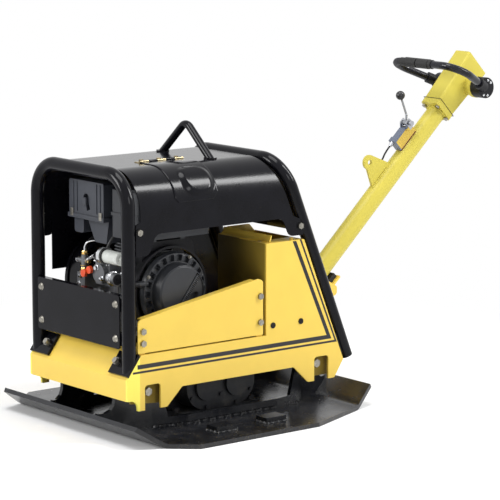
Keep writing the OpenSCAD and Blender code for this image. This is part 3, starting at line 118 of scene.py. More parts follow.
def tube(path, radius, sides=14, caps=True, closed=False):
    """A circle carried along a path: point + radius * (cos a * n + sin a * b), n and b square to the tangent."""
    path = np.asarray(path, float)
    if closed:
        t = np.roll(path, -1, 0) - np.roll(path, 1, 0)
    else:
        t = np.gradient(path, axis=0)
    t = unit(t)
    spread = np.abs(t).mean(0)
    ref = np.eye(3)[int(np.argmin(spread))] + 0.05
    n = unit(np.cross(t, ref))
    b = np.cross(t, n)
    a = np.linspace(0, 2 * np.pi, sides, endpoint=False)
    r = np.broadcast_to(np.asarray(radius, float), (len(path),))[:, None, None]
    ring = np.cos(a)[None, :, None] * n[:, None] + np.sin(a)[None, :, None] * b[:, None]
    faces = [quads(len(path), sides, closed, True)[:, ::-1]]
    if caps and not closed:
        last = (len(path) - 1) * sides
        faces += [np.arange(sides)[None], (last + np.arange(sides)[::-1])[None]]
    return (path[:, None] + r * ring).reshape(-1, 3), faces


def lathe(profile, steps=40, corners=0):
    """A profile of (radius, height) pairs turned about Z. With corners the radius follows a regular polygon."""
    profile = np.asarray(profile, float)
    a = np.linspace(0, 2 * np.pi, steps, endpoint=False)
    shape = np.ones(steps)
    if corners:
        half = np.pi / corners
        shape = np.cos(half) / np.cos((a % (2 * half)) - half)
    r = profile[:, :1] * shape[None]
    z = np.broadcast_to(profile[:, 1:2], r.shape)
    points = np.stack([r * np.cos(a), r * np.sin(a), z], -1).reshape(-1, 3)
    faces = [quads(len(profile), steps, False, True)[:, ::-1]]
    last = (len(profile) - 1) * steps
    faces += [np.arange(steps)[None], (last + np.arange(steps)[::-1])[None]]
    return points, faces


def smooth(points, count):
    """A curve through given points: cubic Catmull-Rom, at count even steps."""
    p = np.asarray(points, float)
    p = np.concatenate([2 * p[:1] - p[1:2], p, 2 * p[-1:] - p[-2:-1]])
    s = np.linspace(0, len(p) - 3, count)
    i = np.minimum(s.astype(int), len(p) - 4)
    t = (s - i)[:, None]
    a, b, c, d = p[i], p[i + 1], p[i + 2], p[i + 3]
    return 0.5 * (2 * b + (c - a) * t + (2 * a - 5 * b + 4 * c - d) * t ** 2 + (3 * b - a - 3 * c + d) * t ** 3)


def rounded_box(low, high, r, n=4):
    """A box with rounded edges: each point is the nearest point of a core box plus r times a unit offset."""
    low, high = np.asarray(low, float), np.asarray(high, float)
    r = min(r, float((high - low).min()) / 2 - 1e-5)
    k = np.concatenate([-1 - np.linspace(1, 0, n + 1)[:-1], [-1], [1], 1 + np.linspace(0, 1, n + 1)[1:]])
    m = len(k)
    u, v = np.meshgrid(k, k, indexing="ij")
    shapes = []
    for axis in range(3):
        for sign in (-1, 1):
            p = np.zeros((m, m, 3))
            p[..., axis] = 2 * sign
            p[..., (axis + 1) % 3], p[..., (axis + 2) % 3] = u, v
            core = np.clip(p, -1, 1)
            off = np.tan((p - core) * np.pi / 4)
            d = unit(np.where(np.abs(off).sum(-1, keepdims=True) > 0, off, p - core))
            world = (low + high) / 2 + core * ((high - low) / 2 - r) + r * d
            f = quads(m, m)
            shapes.append((world.reshape(-1, 3), [f if sign > 0 else f[:, ::-1]]))
    return join(*shapes)


def shell(outer, inner):
    """Two grids of points, each of a wall's sides, closed round their common edge."""
    nu, nv = outer.shape[:2]
    f, n = quads(nu, nv), nu * nv
    a = np.arange(n).reshape(nu, nv)
    ring = np.concatenate([a[:-1, 0], a[-1, :-1], a[:0:-1, -1], a[0, :0:-1]])
    nxt = np.roll(ring, -1)
    side = np.stack([ring, ring + n, nxt + n, nxt], -1)
    return np.concatenate([outer.reshape(-1, 3), inner.reshape(-1, 3)]), [f, n + f[:, ::-1], side[:, ::-1]]


def bead(path, radius, pitch=0.004, ripple=0.22, step=0.0014, taper=0.003):
    """A weld: a tube along even steps of a line, its radius rippled as r * (1 + ripple * sin(2 pi s / pitch)).

    Near each end the radius shrinks as the square root of the distance to it over the taper.
    """
    path = np.asarray(path, float)
    run = np.concatenate([[0], np.cumsum(np.linalg.norm(np.diff(path, axis=0), axis=1))])
    s = np.linspace(0, run[-1], max(8, int(run[-1] / step)))
    line = np.stack([np.interp(s, run, path[:, k]) for k in range(3)], -1)
    ends = np.sqrt(np.clip(np.minimum(s, run[-1] - s) / taper, 0.05, 1))
    return tube(line, radius * (1 + ripple * np.sin(2 * np.pi * s / pitch)) * ends, 8)


def hex_bolt(at, axis, width, tall):
    """A six-sided head with a rounded top on a washer; at is the face that it sits on."""
    w, washer, foot = width / 2, width / 2 * 1.25, 0.0012
    head = lathe([(w, foot), (w, foot + tall * 0.78), (w * 0.9, foot + tall * 0.97), (w * 0.55, foot + tall),
                  (0.0004, foot + tall)], 48, 6)
    ring = lathe([(washer, -0.0004), (washer, foot * 0.8), (washer * 0.94, foot), (0.0005, foot)], 32)
    return place(join(head, ring), at, axis, (0.2, 0.9, 0.4))


def on_handle(x, up, along):
    """A point by its place on the handle: across, above the tube's axis, and along it from the pin."""
    c, s = math.cos(RISE), math.sin(RISE)
    return (x, PIN_Y + along * c - up * s, PIN_Z + along * s + up * c)


def piece(name, shape, body, paint, replaces=(), weld=0.0, crease=35):
    """Puts a shape into a mesh of its own that rides on a body. Edges over crease degrees stay sharp."""
    points, faces = shape
    mesh = bpy.data.meshes.new(name)
    sizes = np.concatenate([np.full(len(f), f.shape[1]) for f in faces])
    loops = np.concatenate([f.reshape(-1) for f in faces])
    mesh.vertices.add(len(points))
    mesh.vertices.foreach_set("co", np.ascontiguousarray(points, np.float32).reshape(-1))
    mesh.loops.add(len(loops))
    mesh.loops.foreach_set("vertex_index", loops.astype(np.int32))
    mesh.polygons.add(len(sizes))
    mesh.polygons.foreach_set("loop_start", (np.cumsum(sizes) - sizes).astype(np.int32))
    mesh.polygons.foreach_set("loop_total", sizes.astype(np.int32))
    mesh.update(calc_edges=True)
    mesh.validate()
    obj = bpy.data.objects.new(name, mesh)
    bpy.context.scene.collection.objects.link(obj)
    if weld:
        bm = bmesh.new()
        bm.from_mesh(mesh)
        bmesh.ops.remove_doubles(bm, verts=bm.verts, dist=weld)
        bmesh.ops.recalc_face_normals(bm, faces=bm.faces)
        bm.to_mesh(mesh)
        bm.free()
    mesh.shade_smooth()
    mesh.set_sharp_from_angle(angle=math.radians(crease))
    mesh.materials.append(PAINTS[paint])
    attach(obj, body)
    if replaces:
        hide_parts(*replaces)


# ---- shader maths ---------------------------------------------------------------------------------
class Wire:
    """One output socket of a shader tree. Arithmetic on it adds Math nodes."""

    def __init__(self, tree, socket):
        self.tree, self.socket = tree, socket

    def math(self, operation, *values):
        return self.tree.node("ShaderNodeMath", {"operation": operation}, dict(enumerate(values)))

    def __add__(self, other): return self.math("ADD", self, other)
    def __sub__(self, other): return self.math("SUBTRACT", self, other)
    def __rsub__(self, other): return self.math("SUBTRACT", other, self)
    def __mul__(self, other): return self.math("MULTIPLY", self, other)
    def __truediv__(self, other): return self.math("DIVIDE", self, other)
    def __pow__(self, other): return self.math("POWER", self, other)
    def __abs__(self): return self.math("ABSOLUTE", self)
    def __lt__(self, other): return self.math("LESS_THAN", self, other)
    def __gt__(self, other): return self.math("GREATER_THAN", self, other)
    __radd__, __rmul__ = __add__, __mul__

    def least(self, other): return self.math("MINIMUM", self, other)
    def most(self, other): return self.math("MAXIMUM", self, other)

    def step(self, low, high):
        """0 below low, 1 above high and a smooth rise between."""
        return self.tree.node("ShaderNodeMapRange", {"interpolation_type": "SMOOTHSTEP"},
                              {"Value": self, "From Min": low, "From Max": high})

    def band(self, centre, half, soft):
        """1 within half of centre, falling to 0 over soft."""
        return 1 - abs(self - centre).step(half - soft, half + soft)


class Tree:
    """A node tree, and the method that adds its nodes."""

    def __init__(self, tree):
        self.nodes, self.links = tree.nodes, tree.links

    def first(self, kind):
        return next(n for n in self.nodes if n.type == kind)

    def feed(self, socket, value):
        """Sets a constant on a socket, or links a wire to it."""
        if isinstance(value, Wire):
            self.links.new(value.socket, socket)
        else:
            socket.default_value = value

    def node(self, kind, settings=None, values=None):
        """Adds a node: its settings first, then the values or links of its sockets. Returns its first output."""
        new = self.nodes.new(kind)
        for key, value in (settings or {}).items():
            setattr(new, key, value)
        for key, value in (values or {}).items():
            self.feed(new.inputs[key], value)
        return Wire(self, new.outputs[0])

    def seen(self):
        """1 for the rays of the camera, of reflections and of transmission, 0 for those that only light."""
        outputs = self.node("ShaderNodeLightPath").socket.node.outputs
        camera, glossy, through = (Wire(self, outputs[f"Is {kind} Ray"])
                                   for kind in ("Camera", "Glossy", "Transmission"))
        return camera.most(glossy).most(through)


class Finish(Tree):
    """A material with one Principled shader."""

    def __init__(self, name, **constants):
        self.material = bpy.data.materials.new(name)
        self.material.use_nodes = True
        super().__init__(self.material.node_tree)
        self.shader = self.first("BSDF_PRINCIPLED")
        for key, value in constants.items():
            self.set(key.replace("_", " "), value)
        spot = self.nodes.new("ShaderNodeTexCoord")
        self.spot = Wire(self, spot.outputs["Object"])
        self.across = None

    def set(self, socket, value):
        """Sets a constant on the shader's own socket, or links a wire to it."""
        self.feed(self.shader.inputs[socket], value)

    def linked(self, socket):
        """What is linked to one of the shader's sockets."""
        return Wire(self, self.shader.inputs[socket].links[0].from_socket)

    def axes(self):
        """X, Y and Z of the object coordinates."""
        if self.across is None:
            split = self.node("ShaderNodeSeparateXYZ", {}, {"Vector": self.spot})
            outs = split.socket.node.outputs
            self.across = [Wire(self, outs[i]) for i in range(3)]
        return self.across

    def noise(self, scale, detail=3.0):
        """Noise from 0 to 1 on object coordinates."""
        return self.node("ShaderNodeTexNoise", {}, {"Vector": self.spot, "Scale": scale, "Detail": detail})

    def mix(self, factor, a, b):
        """Colour a where factor is 0 and b where it is 1."""
        def rgba(c):
            return c if isinstance(c, Wire) else (*c[:3], 1.0)
        new = self.nodes.new("ShaderNodeMix")
        new.data_type = "RGBA"
        for socket, value in ((0, factor), (6, rgba(a)), (7, rgba(b))):
            self.feed(new.inputs[socket], value)
        return Wire(self, new.outputs[2])

    def bump(self, height, distance):
        self.set("Normal", self.node("ShaderNodeBump", {}, {"Height": height, "Distance": distance, "Strength": 1.0}))


def tint(colour, share):
    """A colour made lighter or darker by a share of itself."""
    return tuple(min(1.0, c * share) for c in colour)


def coat(name, colour, rough, *, metallic=0.0, spec=0.5, mottle=0.05, mottle_scale=14.0, grain=260.0,
         relief=0.00004, wander=0.05, dust=0.0, dust_top=0.10, clear=0.0):
    """A painted, moulded or cast surface: slow noises mottle its colour and roughness, a fine bump is its grain."""
    f = Finish(name, Metallic=metallic, Specular_IOR_Level=spec, Coat_Weight=clear, Coat_Roughness=0.08)
    slow = f.noise(mottle_scale, 4.0)
    shade = f.mix(slow.step(0.3, 0.7), tint(colour, 1 - mottle), tint(colour, 1 + mottle))
    roughness = f.noise(mottle_scale * 2.3, 3.0) * (2 * wander) + (rough - wander)
    if dust:
        z = f.axes()[2]
        low = (1 - z.step(0.0, dust_top)) * f.noise(38.0, 6.0).step(0.42, 0.72) * dust
        shade = f.mix(low, shade, (0.30, 0.27, 0.23))
        roughness = roughness + low * 0.35
    f.set("Base Color", shade)
    f.set("Roughness", roughness)
    if relief:
        f.bump(f.noise(grain, 2.0), relief)
    return f


# ---- sizes and colours that a user would change ---------------------------------------------------
class CompactorPaint(bpy.types.PropertyGroup):
    """Colours and gloss of the painted pieces."""
    yellow: FloatVectorProperty(
        name="Yellow", description="Paint of the chassis and handle", default=(0.80, 0.56, 0.085),
        subtype="COLOR", size=3, min=0.0, max=1.0)
    black: FloatVectorProperty(
        name="Black", description="Gloss paint of hood and frames", default=(0.0045, 0.0045, 0.0065),
        subtype="COLOR", size=3, min=0.0, max=1.0)
    plate: FloatVectorProperty(
        name="Plate black", description="Satin paint of the sole plate", default=(0.010, 0.011, 0.015),
        subtype="COLOR", size=3, min=0.0, max=1.0)
    stripe_wide: FloatProperty(
        name="Wide stripe", description="Width of the upper stripe on the chassis", default=0.0115,
        unit="LENGTH", min=0.002, max=0.03)
    stripe_thin: FloatProperty(
        name="Thin stripe", description="Width of the lower stripe on the chassis", default=0.0058,
        unit="LENGTH", min=0.001, max=0.02)


class CompactorSizes(bpy.types.PropertyGroup):
    """Sizes of the fine pieces, and the light."""
    bead: FloatProperty(
        name="Weld bead", description="Radius of the weld beads", default=0.0055, unit="LENGTH",
        min=0.002, max=0.01)
    recoil_rings: IntProperty(
        name="Disc steps", description="Grid steps from the starter's centre to its rim", default=120,
        min=40, max=200)
    light: FloatProperty(
        name="Light", description="Power that the lamps share", default=148.0, unit="POWER", min=10.0)


# ---- stage ----------------------------------------------------------------------------------------
CAMERA_AT = (5.32224, -4.06435, 1.53808)
CAMERA_TURN = (80.62, 0.0, 51.26)
CAMERA_LENS = 182.3
FLOOR_RINGS = (0.0, 0.6, 1.2, 2.4, 5.0, 12.0, 40.0)
SKY_LIGHT = 0.27
LAMP_AIM = (0, 0.1, 0.4)
# each lamp's name, place, size and share of the power
LAMPS = (("front", (-1.8, -4.4, 2.4), (2.0, 1.8), 1.05), ("side", (4.8, -0.6, 2.2), (1.5, 1.4), 0.26),
         ("top", (0.2, -0.8, 4.4), (2.0, 2.4), 0.74), ("strip", (2.1, 2.7, 3.1), (0.60, 3.0), 1.10))


class COMPACTOR_OT_stage(bpy.types.Operator):
    """Sets up the camera, the floor, the soft lamps and the pale surroundings"""
    bl_idname = "compactor.stage"
    bl_label = "Studio"

    def execute(self, context):
        scene = context.scene
        scene.view_settings.view_transform = "Standard"
        data = bpy.data.cameras.new("camera")
        data.lens, data.sensor_width, data.clip_end = CAMERA_LENS, 36.0, 200.0
        camera = bpy.data.objects.new("camera", data)
        camera.location = CAMERA_AT
        camera.rotation_euler = [math.radians(a) for a in CAMERA_TURN]
        scene.collection.objects.link(camera)
        scene.camera = camera
        # floor: a disc whose far part shines white to the camera, so that it meets the sky without a line
        r = np.array(FLOOR_RINGS)
        a = np.linspace(0, 2 * np.pi, 64, endpoint=False)
        points = np.stack([r[:, None] * np.cos(a), r[:, None] * np.sin(a), np.zeros((len(r), 64))], -1)
        mesh = bpy.data.meshes.new("floor")
        mesh.from_pydata(points.reshape(-1, 3).tolist(), [], quads(len(r), 64, False, True).tolist())
        floor = bpy.data.objects.new("floor", mesh)
        scene.collection.objects.link(floor)
        f = Finish("floor_white", Base_Color=(0.93, 0.93, 0.93, 1), Roughness=0.6, Specular_IOR_Level=0.2)
        x, y, _ = f.axes()
        far = ((x * x + y * y) ** 0.5).step(0.75, 1.7)
        blend = f.node("ShaderNodeMixShader", {}, {0: far * f.seen(), 1: Wire(f, f.shader.outputs[0]),
                                                   2: f.node("ShaderNodeEmission")})
        f.feed(f.first("OUTPUT_MATERIAL").inputs["Surface"], blend)
        mesh.materials.append(f.material)
        # surroundings: white to the camera and in reflections, and dim as a light
        world = bpy.data.worlds.new("studio")
        scene.world = world
        world.use_nodes = True
        sky = Tree(world.node_tree)
        level = sky.node("ShaderNodeMapRange", {}, {"Value": sky.seen(), "To Min": SKY_LIGHT, "To Max": 1.0})
        back = sky.first("BACKGROUND")
        sky.feed(back.inputs["Strength"], level)
        sky.feed(back.inputs["Color"], (1, 1, 1, 1))
        for name, at, size, share in LAMPS:
            lamp = bpy.data.lights.new(name, "AREA")
            lamp.shape, lamp.size, lamp.size_y = "RECTANGLE", size[0], size[1]
            lamp.energy = scene.compactor_sizes.light * share
            obj = bpy.data.objects.new(name, lamp)
            obj.location = at
            obj.rotation_euler = (Vector(LAMP_AIM) - Vector(at)).to_track_quat("-Z", "Y").to_euler()
            scene.collection.objects.link(obj)
        return {"FINISHED"}


# ---- finishes -------------------------------------------------------------------------------------
# each stripe's height on the sill, front end, rear corner, lean of its rising part and top
STRIPES = ((0.192, -0.338, 0.3025, 0.445, 0.466), (0.178, -0.353, 0.3265, 0.430, 0.468))
# the finish of a material slot, and that of a node which differs from its slot
BY_SLOT = {"yellow_paint": "yellow", "black_paint": "black", "plate_black": "plate", "exciter_grey": "casing",
           "rotor_iron": "rotor", "rubber_black": "rubber", "zinc_steel": "zinc", "engine_alloy": "alloy",
           "black_plastic": "matt", "grey_plastic": "grey", "filter_white": "white", "tap_orange": "orange",
           "exhaust_steel": "exhaust", "bar_black": "matt"}
BY_NODE = {"handle_tube": "lemon_shaded", "handle_head": "lemon_shaded", "buffer_plates": "shaded", "rear_housing": "wall_shaded",
           "right_side": "striped", "left_side": "striped", "throttle_base": "throttle", "control_bar": "bar",
           "deck_bolts": "bolt", "head_bolts": "bolt", "buffer_bolts": "bolt", "throttle_lever": "lever",
           "flap_hinge": "gold", "air_filter": "casing_top"}


class COMPACTOR_OT_finishes(bpy.types.Operator):
    """Makes every finish and gives it to the solids that stay in view"""
    bl_idname = "compactor.finishes"
    bl_label = "Finishes"

    def execute(self, context):
        p = context.scene.compactor_paint
        yellow, black, plate = tuple(p.yellow), tuple(p.black), tuple(p.plate)
        gloss = dict(spec=0.40, mottle=0.02, relief=0.0, clear=0.10)
        metal = dict(metallic=1.0)
        # plain coats: name, colour, roughness and what differs from the usual coat
        plain = {
            "yellow": ("yellow_paint", yellow, 0.34, gloss),
            # painted shade: the handle gets a darker, more greenish copy of the chassis yellow; the darkening offsets
            # the stronger light that falls on the handle
            "lemon_shaded": ("yellow_handle", (yellow[0] * 0.69, yellow[1] * 0.84, yellow[2] * 0.88), 0.40,
                      dict(spec=0.25, mottle=0.0, relief=0.0)),
            # painted shade: the buffer plates get the yellow darkened to a third, for the shade in the slots where
            # they sit
            "shaded": ("yellow_grimed", tint(yellow, 0.34), 0.5, dict(spec=0.3, mottle=0.25, relief=0.0)),
            "black": ("black_gloss", black, 0.14, dict(spec=0.15, mottle=0.2, relief=0.0, wander=0.02)),
            "plate": ("plate_satin", tint(plate, 0.62), 0.24,
                      dict(spec=0.42, mottle=0.3, grain=110.0, relief=0.00008, wander=0.1, dust=0.06, dust_top=0.05)),
            "grey": ("grey_moulded", (0.030, 0.032, 0.037), 0.40,
                     dict(spec=0.35, mottle=0.1, grain=500.0, relief=0.00004)),
            "casing_top": ("filter_moulded", (0.040, 0.044, 0.055), 0.40,
                           dict(spec=0.4, mottle=0.1, grain=500.0, relief=0.00003)),
            "matt": ("black_moulded", (0.006, 0.006, 0.008), 0.46,
                     dict(spec=0.2, mottle=0.2, grain=500.0, relief=0.00004)),
            "hose": ("hose_rubber", (0.008, 0.008, 0.009), 0.42,
                     dict(spec=0.4, mottle=0.2, grain=400.0, relief=0.00003)),
            "rubber": ("rubber", (0.009, 0.009, 0.009), 0.62,
                       dict(spec=0.4, mottle=0.2, grain=400.0, relief=0.00006)),
            "zinc": ("zinc", (0.42, 0.42, 0.41), 0.36,
                     dict(metal, mottle=0.14, mottle_scale=60.0, wander=0.1, relief=0.00001)),
            "bolt": ("bolt_zinc", (0.30, 0.285, 0.25), 0.33,
                     dict(metal, mottle=0.22, mottle_scale=160.0, wander=0.1, relief=0.00001)),
            "chrome": ("bright_steel", (0.70, 0.71, 0.73), 0.16,
                       dict(metal, mottle=0.06, mottle_scale=80.0, relief=0.000005)),
            "brass": ("brass", (0.62, 0.43, 0.16), 0.28, dict(metal, mottle=0.15, mottle_scale=60.0)),
            "gold": ("yellow_zinc", (0.36, 0.30, 0.18), 0.34, dict(metal, mottle=0.25, mottle_scale=80.0)),
            "alloy": ("cast_alloy", (0.17, 0.175, 0.185), 0.46,
                      dict(metallic=0.7, mottle=0.15, grain=240.0, relief=0.00012)),
            "casing": ("casing_paint", (0.014, 0.015, 0.018), 0.45,
                       dict(spec=0.3, mottle=0.15, grain=200.0, relief=0.00012, dust=0.12, dust_top=0.12)),
            "rotor": ("turned_iron", (0.20, 0.20, 0.21), 0.42, dict(metallic=0.8, mottle=0.2)),
            "exhaust": ("exhaust", (0.10, 0.09, 0.085), 0.5, dict(metallic=0.7, mottle=0.3)),
            "orange": ("tap_orange", (0.80, 0.085, 0.02), 0.35, {}),
        }
        for key, (name, colour, rough, other) in plain.items():
            PAINTS[key] = coat(name, colour, rough, **other).material
        # stripes on the outer faces of the sides: level along the sill, then up beside the leaning rear edge
        striped = coat("yellow_striped", yellow, 0.34, **gloss)
        x, y, z = striped.axes()
        outside = abs(x).step(0.2185, 0.2195)
        mask = None
        for width, (height, front, corner, lean, top) in zip((p.stripe_wide, p.stripe_thin), STRIPES):
            across = (y + (z - height) * lean - corner) / math.hypot(1, lean)
            level = z.band(height, width / 2, 0.0005) * (y > front) * (across < width / 2)
            rising = across.band(0.0, width / 2, 0.0005) * (z > height - width / 2) * (z < top)
            one = level.most(rising)
            mask = one if mask is None else mask.most(one)
        # painted light: the first part of each side, next to the front corner, is of a lighter, more greenish yellow,
        # standing for the washed-out look of a lit front face
        front_light_yellow = (yellow[0] * 1.17, yellow[1] * 1.45, yellow[2] * 1.35)
        base = striped.mix(y < -0.330, striped.linked("Base Color"), front_light_yellow)
        striped.set("Base Color", striped.mix(mask * outside, base, (0.010, 0.010, 0.013)))
        PAINTS["striped"] = striped.material
        # painted shade and reflection: the housing's front wall is darkened, most of all towards the left, for the
        # shade under the hood and the dark engine reflected in it
        wall_shaded = coat("yellow_wall_shaded", yellow, 0.36, **gloss)
        x, y, z = wall_shaded.axes()
        share = (0.60 + 0.37 * (1 - x.step(0.06, 0.215))) * (0.92 + 0.08 * wall_shaded.noise(20.0))
        wall_shade = (y < 0.0862) * (z < 0.470) * share
        wall_shaded.set("Base Color", wall_shaded.mix(wall_shade, wall_shaded.linked("Base Color"), (0.016, 0.012, 0.006)))
        PAINTS["wall_shaded"] = wall_shaded.material
        # the fuel filter: bright mount, black band and milky bowl, told apart along its length
        bowl = coat("filter_bowl", (0.56, 0.58, 0.55), 0.26, relief=0.00001)
        x, y, z = bowl.axes()
        ring = ((x < 0.0505) + (y > -0.286)).least(1.0)
        band = x.band(0.0555, 0.0035, 0.0003)
        tone = bowl.mix(ring, bowl.linked("Base Color"), (0.62, 0.63, 0.65))
        bowl.set("Base Color", bowl.mix(band, tone, (0.01, 0.01, 0.012)))
        bowl.set("Metallic", ring * (1 - band))
        PAINTS["white"] = bowl.material
        # the throttle's block, told apart by the height above the tube and the place along it
        block = coat("throttle_block", tint(yellow, 0.70), 0.34, **gloss)
        x, y, z = block.axes()
        c, q = math.cos(RISE), math.sin(RISE)
        up = (z - PIN_Z) * c - (y - PIN_Y) * q
        along = (y - PIN_Y) * c + (z - PIN_Z) * q
        strip = (up > 0.0592).most(along < 0.4912) * (along < 0.5545)
        fork = ((along > 0.5515) * (up > 0.045)).most(along < 0.4868)
        # painted shadow: the slot low against the tube is coloured dark brown, for the shade in its recess
        slot = (up < 0.0295) * (along < 0.5640)
        tone = block.mix(strip, block.linked("Base Color"), (0.115, 0.135, 0.185))
        tone = block.mix(slot, tone, (0.10, 0.020, 0.008))
        block.set("Base Color", block.mix(fork, tone, (0.46, 0.47, 0.50)))
        block.set("Metallic", fork)
        PAINTS["throttle"] = block.material
        # the lever's ball is black, the rest bright
        lever = coat("lever_steel", (0.30, 0.31, 0.33), 0.32, metallic=1.0, mottle=0.06, relief=0.0)
        x, y, z = lever.axes()
        ball = (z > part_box("throttle_lever")[1][2] - 0.0268).most(x > 0.0155)
        lever.set("Base Color", lever.mix(ball, lever.linked("Base Color"), (0.006, 0.006, 0.007)))
        lever.set("Metallic", 1 - ball)
        PAINTS["lever"] = lever.material
        # the bar: gloss tube, a matt sleeve on its left part, a paler joint, and the bright shaft in the head
        bar = coat("bar_gloss", (0.005, 0.005, 0.009), 0.16, spec=0.35, mottle=0.2, relief=0.0)
        x, y, z = bar.axes()
        sleeve = (x < -0.063) * (x > -0.150) * (y < 0.862)
        joint = x.band(-0.014, 0.0022, 0.0004)
        shaft = (abs(x) < 0.0905) * (y > 0.975)
        tone = bar.mix(sleeve, bar.linked("Base Color"), (0.010, 0.010, 0.014))
        tone = bar.mix(joint, tone, (0.13, 0.135, 0.15))
        bar.set("Base Color", bar.mix(shaft, tone, (0.45, 0.45, 0.46)))
        bar.set("Metallic", shaft)
        bar.set("Roughness", sleeve * 0.42 + 0.15 + joint * 0.25)
        PAINTS["bar"] = bar.material
        for name, obj in NODES.items():
            chosen = PAINTS[BY_NODE.get(name, BY_SLOT[SLOT_OF[name]])]
            if obj.material_slots:
                for s in obj.material_slots:
                    s.material = chosen
            else:
                obj.data.materials.append(chosen)
        return {"FINISHED"}


# ---- pieces ---------------------------------------------------------------------------------------
class COMPACTOR_OT_starter(bpy.types.Operator):
    """Makes the starter's cover: a ring with vents, a domed flank and a disc split by a slanted groove"""
    bl_idname = "compactor.starter"
    bl_label = "Recoil starter"
    VENTS = 22

    def execute(self, context):
        low, high = (np.array(c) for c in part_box("recoil_starter"))
        rim = (high[2] - low[2]) / 2
        cy, cz, x0, top = high[1] - rim, high[2] - rim, high[0] - 0.050, 0.050
        disc = rim - 0.032
        steps = context.scene.compactor_sizes.recoil_rings
        # radii from the centre to the rim, closer where the flank is
        r = np.concatenate([np.linspace(0, disc - 0.005, steps // 2)[1:],
                            np.linspace(disc - 0.005, disc + 0.006, steps // 4),
                            np.linspace(disc + 0.006, rim, steps // 3)[1:]])
        a = np.linspace(0, 2 * np.pi, 420, endpoint=False)
        rr, aa = np.meshgrid(r, a, indexing="ij")
        y, z = rr * np.sin(aa), rr * np.cos(aa)
        # q across the groove and t along it
        q = 0.788 * y - 0.616 * z - 0.0095
        t = 0.616 * y + 0.788 * z
        # height: disc, its rounded edge, the flank, the ring and the ring's outer lip
        h = top - 0.0035 * ease(rr, disc - 0.005, disc) - 0.0115 * ease(rr, disc - 0.0005, disc + 0.0025)
        h = h - 0.0170 * ease(rr, disc + 0.0020, disc + 0.0060)
        h = h - 0.0015 * ease(rr, rim - 0.010, rim - 0.006) - 0.010 * ease(rr, rim - 0.004, rim)
        on_disc = rr < disc - 0.004
        groove = (1 - ease(abs(q), 0.0018, 0.0034)) * on_disc
        lower = ease(q, 0.0024, 0.0036) * on_disc
        ribs = (0.5 + 0.5 * np.sin(2 * np.pi * t / 0.0048)) * (ease(q, 0.0045, 0.006) - ease(q, 0.0145, 0.016))
        bowl = 1 - ease(np.hypot((q - 0.031) / 0.011, (t - 0.008) / 0.019), 0.75, 1.1)
        h = h - 0.0060 * groove - 0.0032 * lower + 0.0020 * ribs * lower - 0.009 * bowl * on_disc
        # vents: slots round the ring, each with a raised lip on one side
        part = (aa / (2 * np.pi) * self.VENTS) % 1.0
        slot = ease(rr, disc + 0.009, disc + 0.011) - ease(rr, rim - 0.009, rim - 0.007)
        deep = (ease(part, 0.30, 0.36) - ease(part, 0.78, 0.84)) * slot
        ridge = ease(rr, disc + 0.008, disc + 0.011) - ease(rr, rim - 0.010, rim - 0.007)
        lip = (ease(part, 0.18, 0.26) - ease(part, 0.30, 0.36)) * ridge
        h = h - 0.012 * deep + 0.0026 * lip
        front = np.stack([x0 + h, cy + y, cz + z], -1)
        foot = front[-1].copy()
        foot[:, 0] = x0
        hub = np.array([[x0 + top, cy, cz], [x0, cy, cz]])
        n, m = len(r), len(a)
        points = np.concatenate([front.reshape(-1, 3), foot, hub])
        i = np.arange(m)
        k = (i + 1) % m
        faces = [quads(n, m, False, True),
                 np.stack([(n - 1) * m + i, n * m + i, n * m + k, (n - 1) * m + k], -1),
                 np.stack([np.full(m, (n + 1) * m), i, k], -1),
                 np.stack([np.full(m, (n + 1) * m + 1), n * m + k, n * m + i], -1)]
        piece("starter_cover", (points, faces), "deck", "grey", ["recoil_starter"],
              crease=50, weld=1e-7)
        # the rope's outlet ahead of the ring, and screws on its rim
        out = place(lathe([(0.0034, 0), (0.008, 0), (0.008, 0.024), (0.0065, 0.028), (0.0034, 0.028)], 32),
                    (x0 + 0.009, cy - rim + 0.018, cz + 0.029), (0, -1, 0))
        reach = rim - 0.006
        screws = [hex_bolt((x0 + 0.0165, cy + reach * math.sin(v), cz + reach * math.cos(v)), (1, 0, 0), 0.008, 0.004)
                  for v in (0.5, 2.07, 3.64, 5.21)]
        piece("starter_outlet", out, "deck", "grey")
        piece("starter_screws", join(*screws), "deck", "bolt")
        return {"FINISHED"}


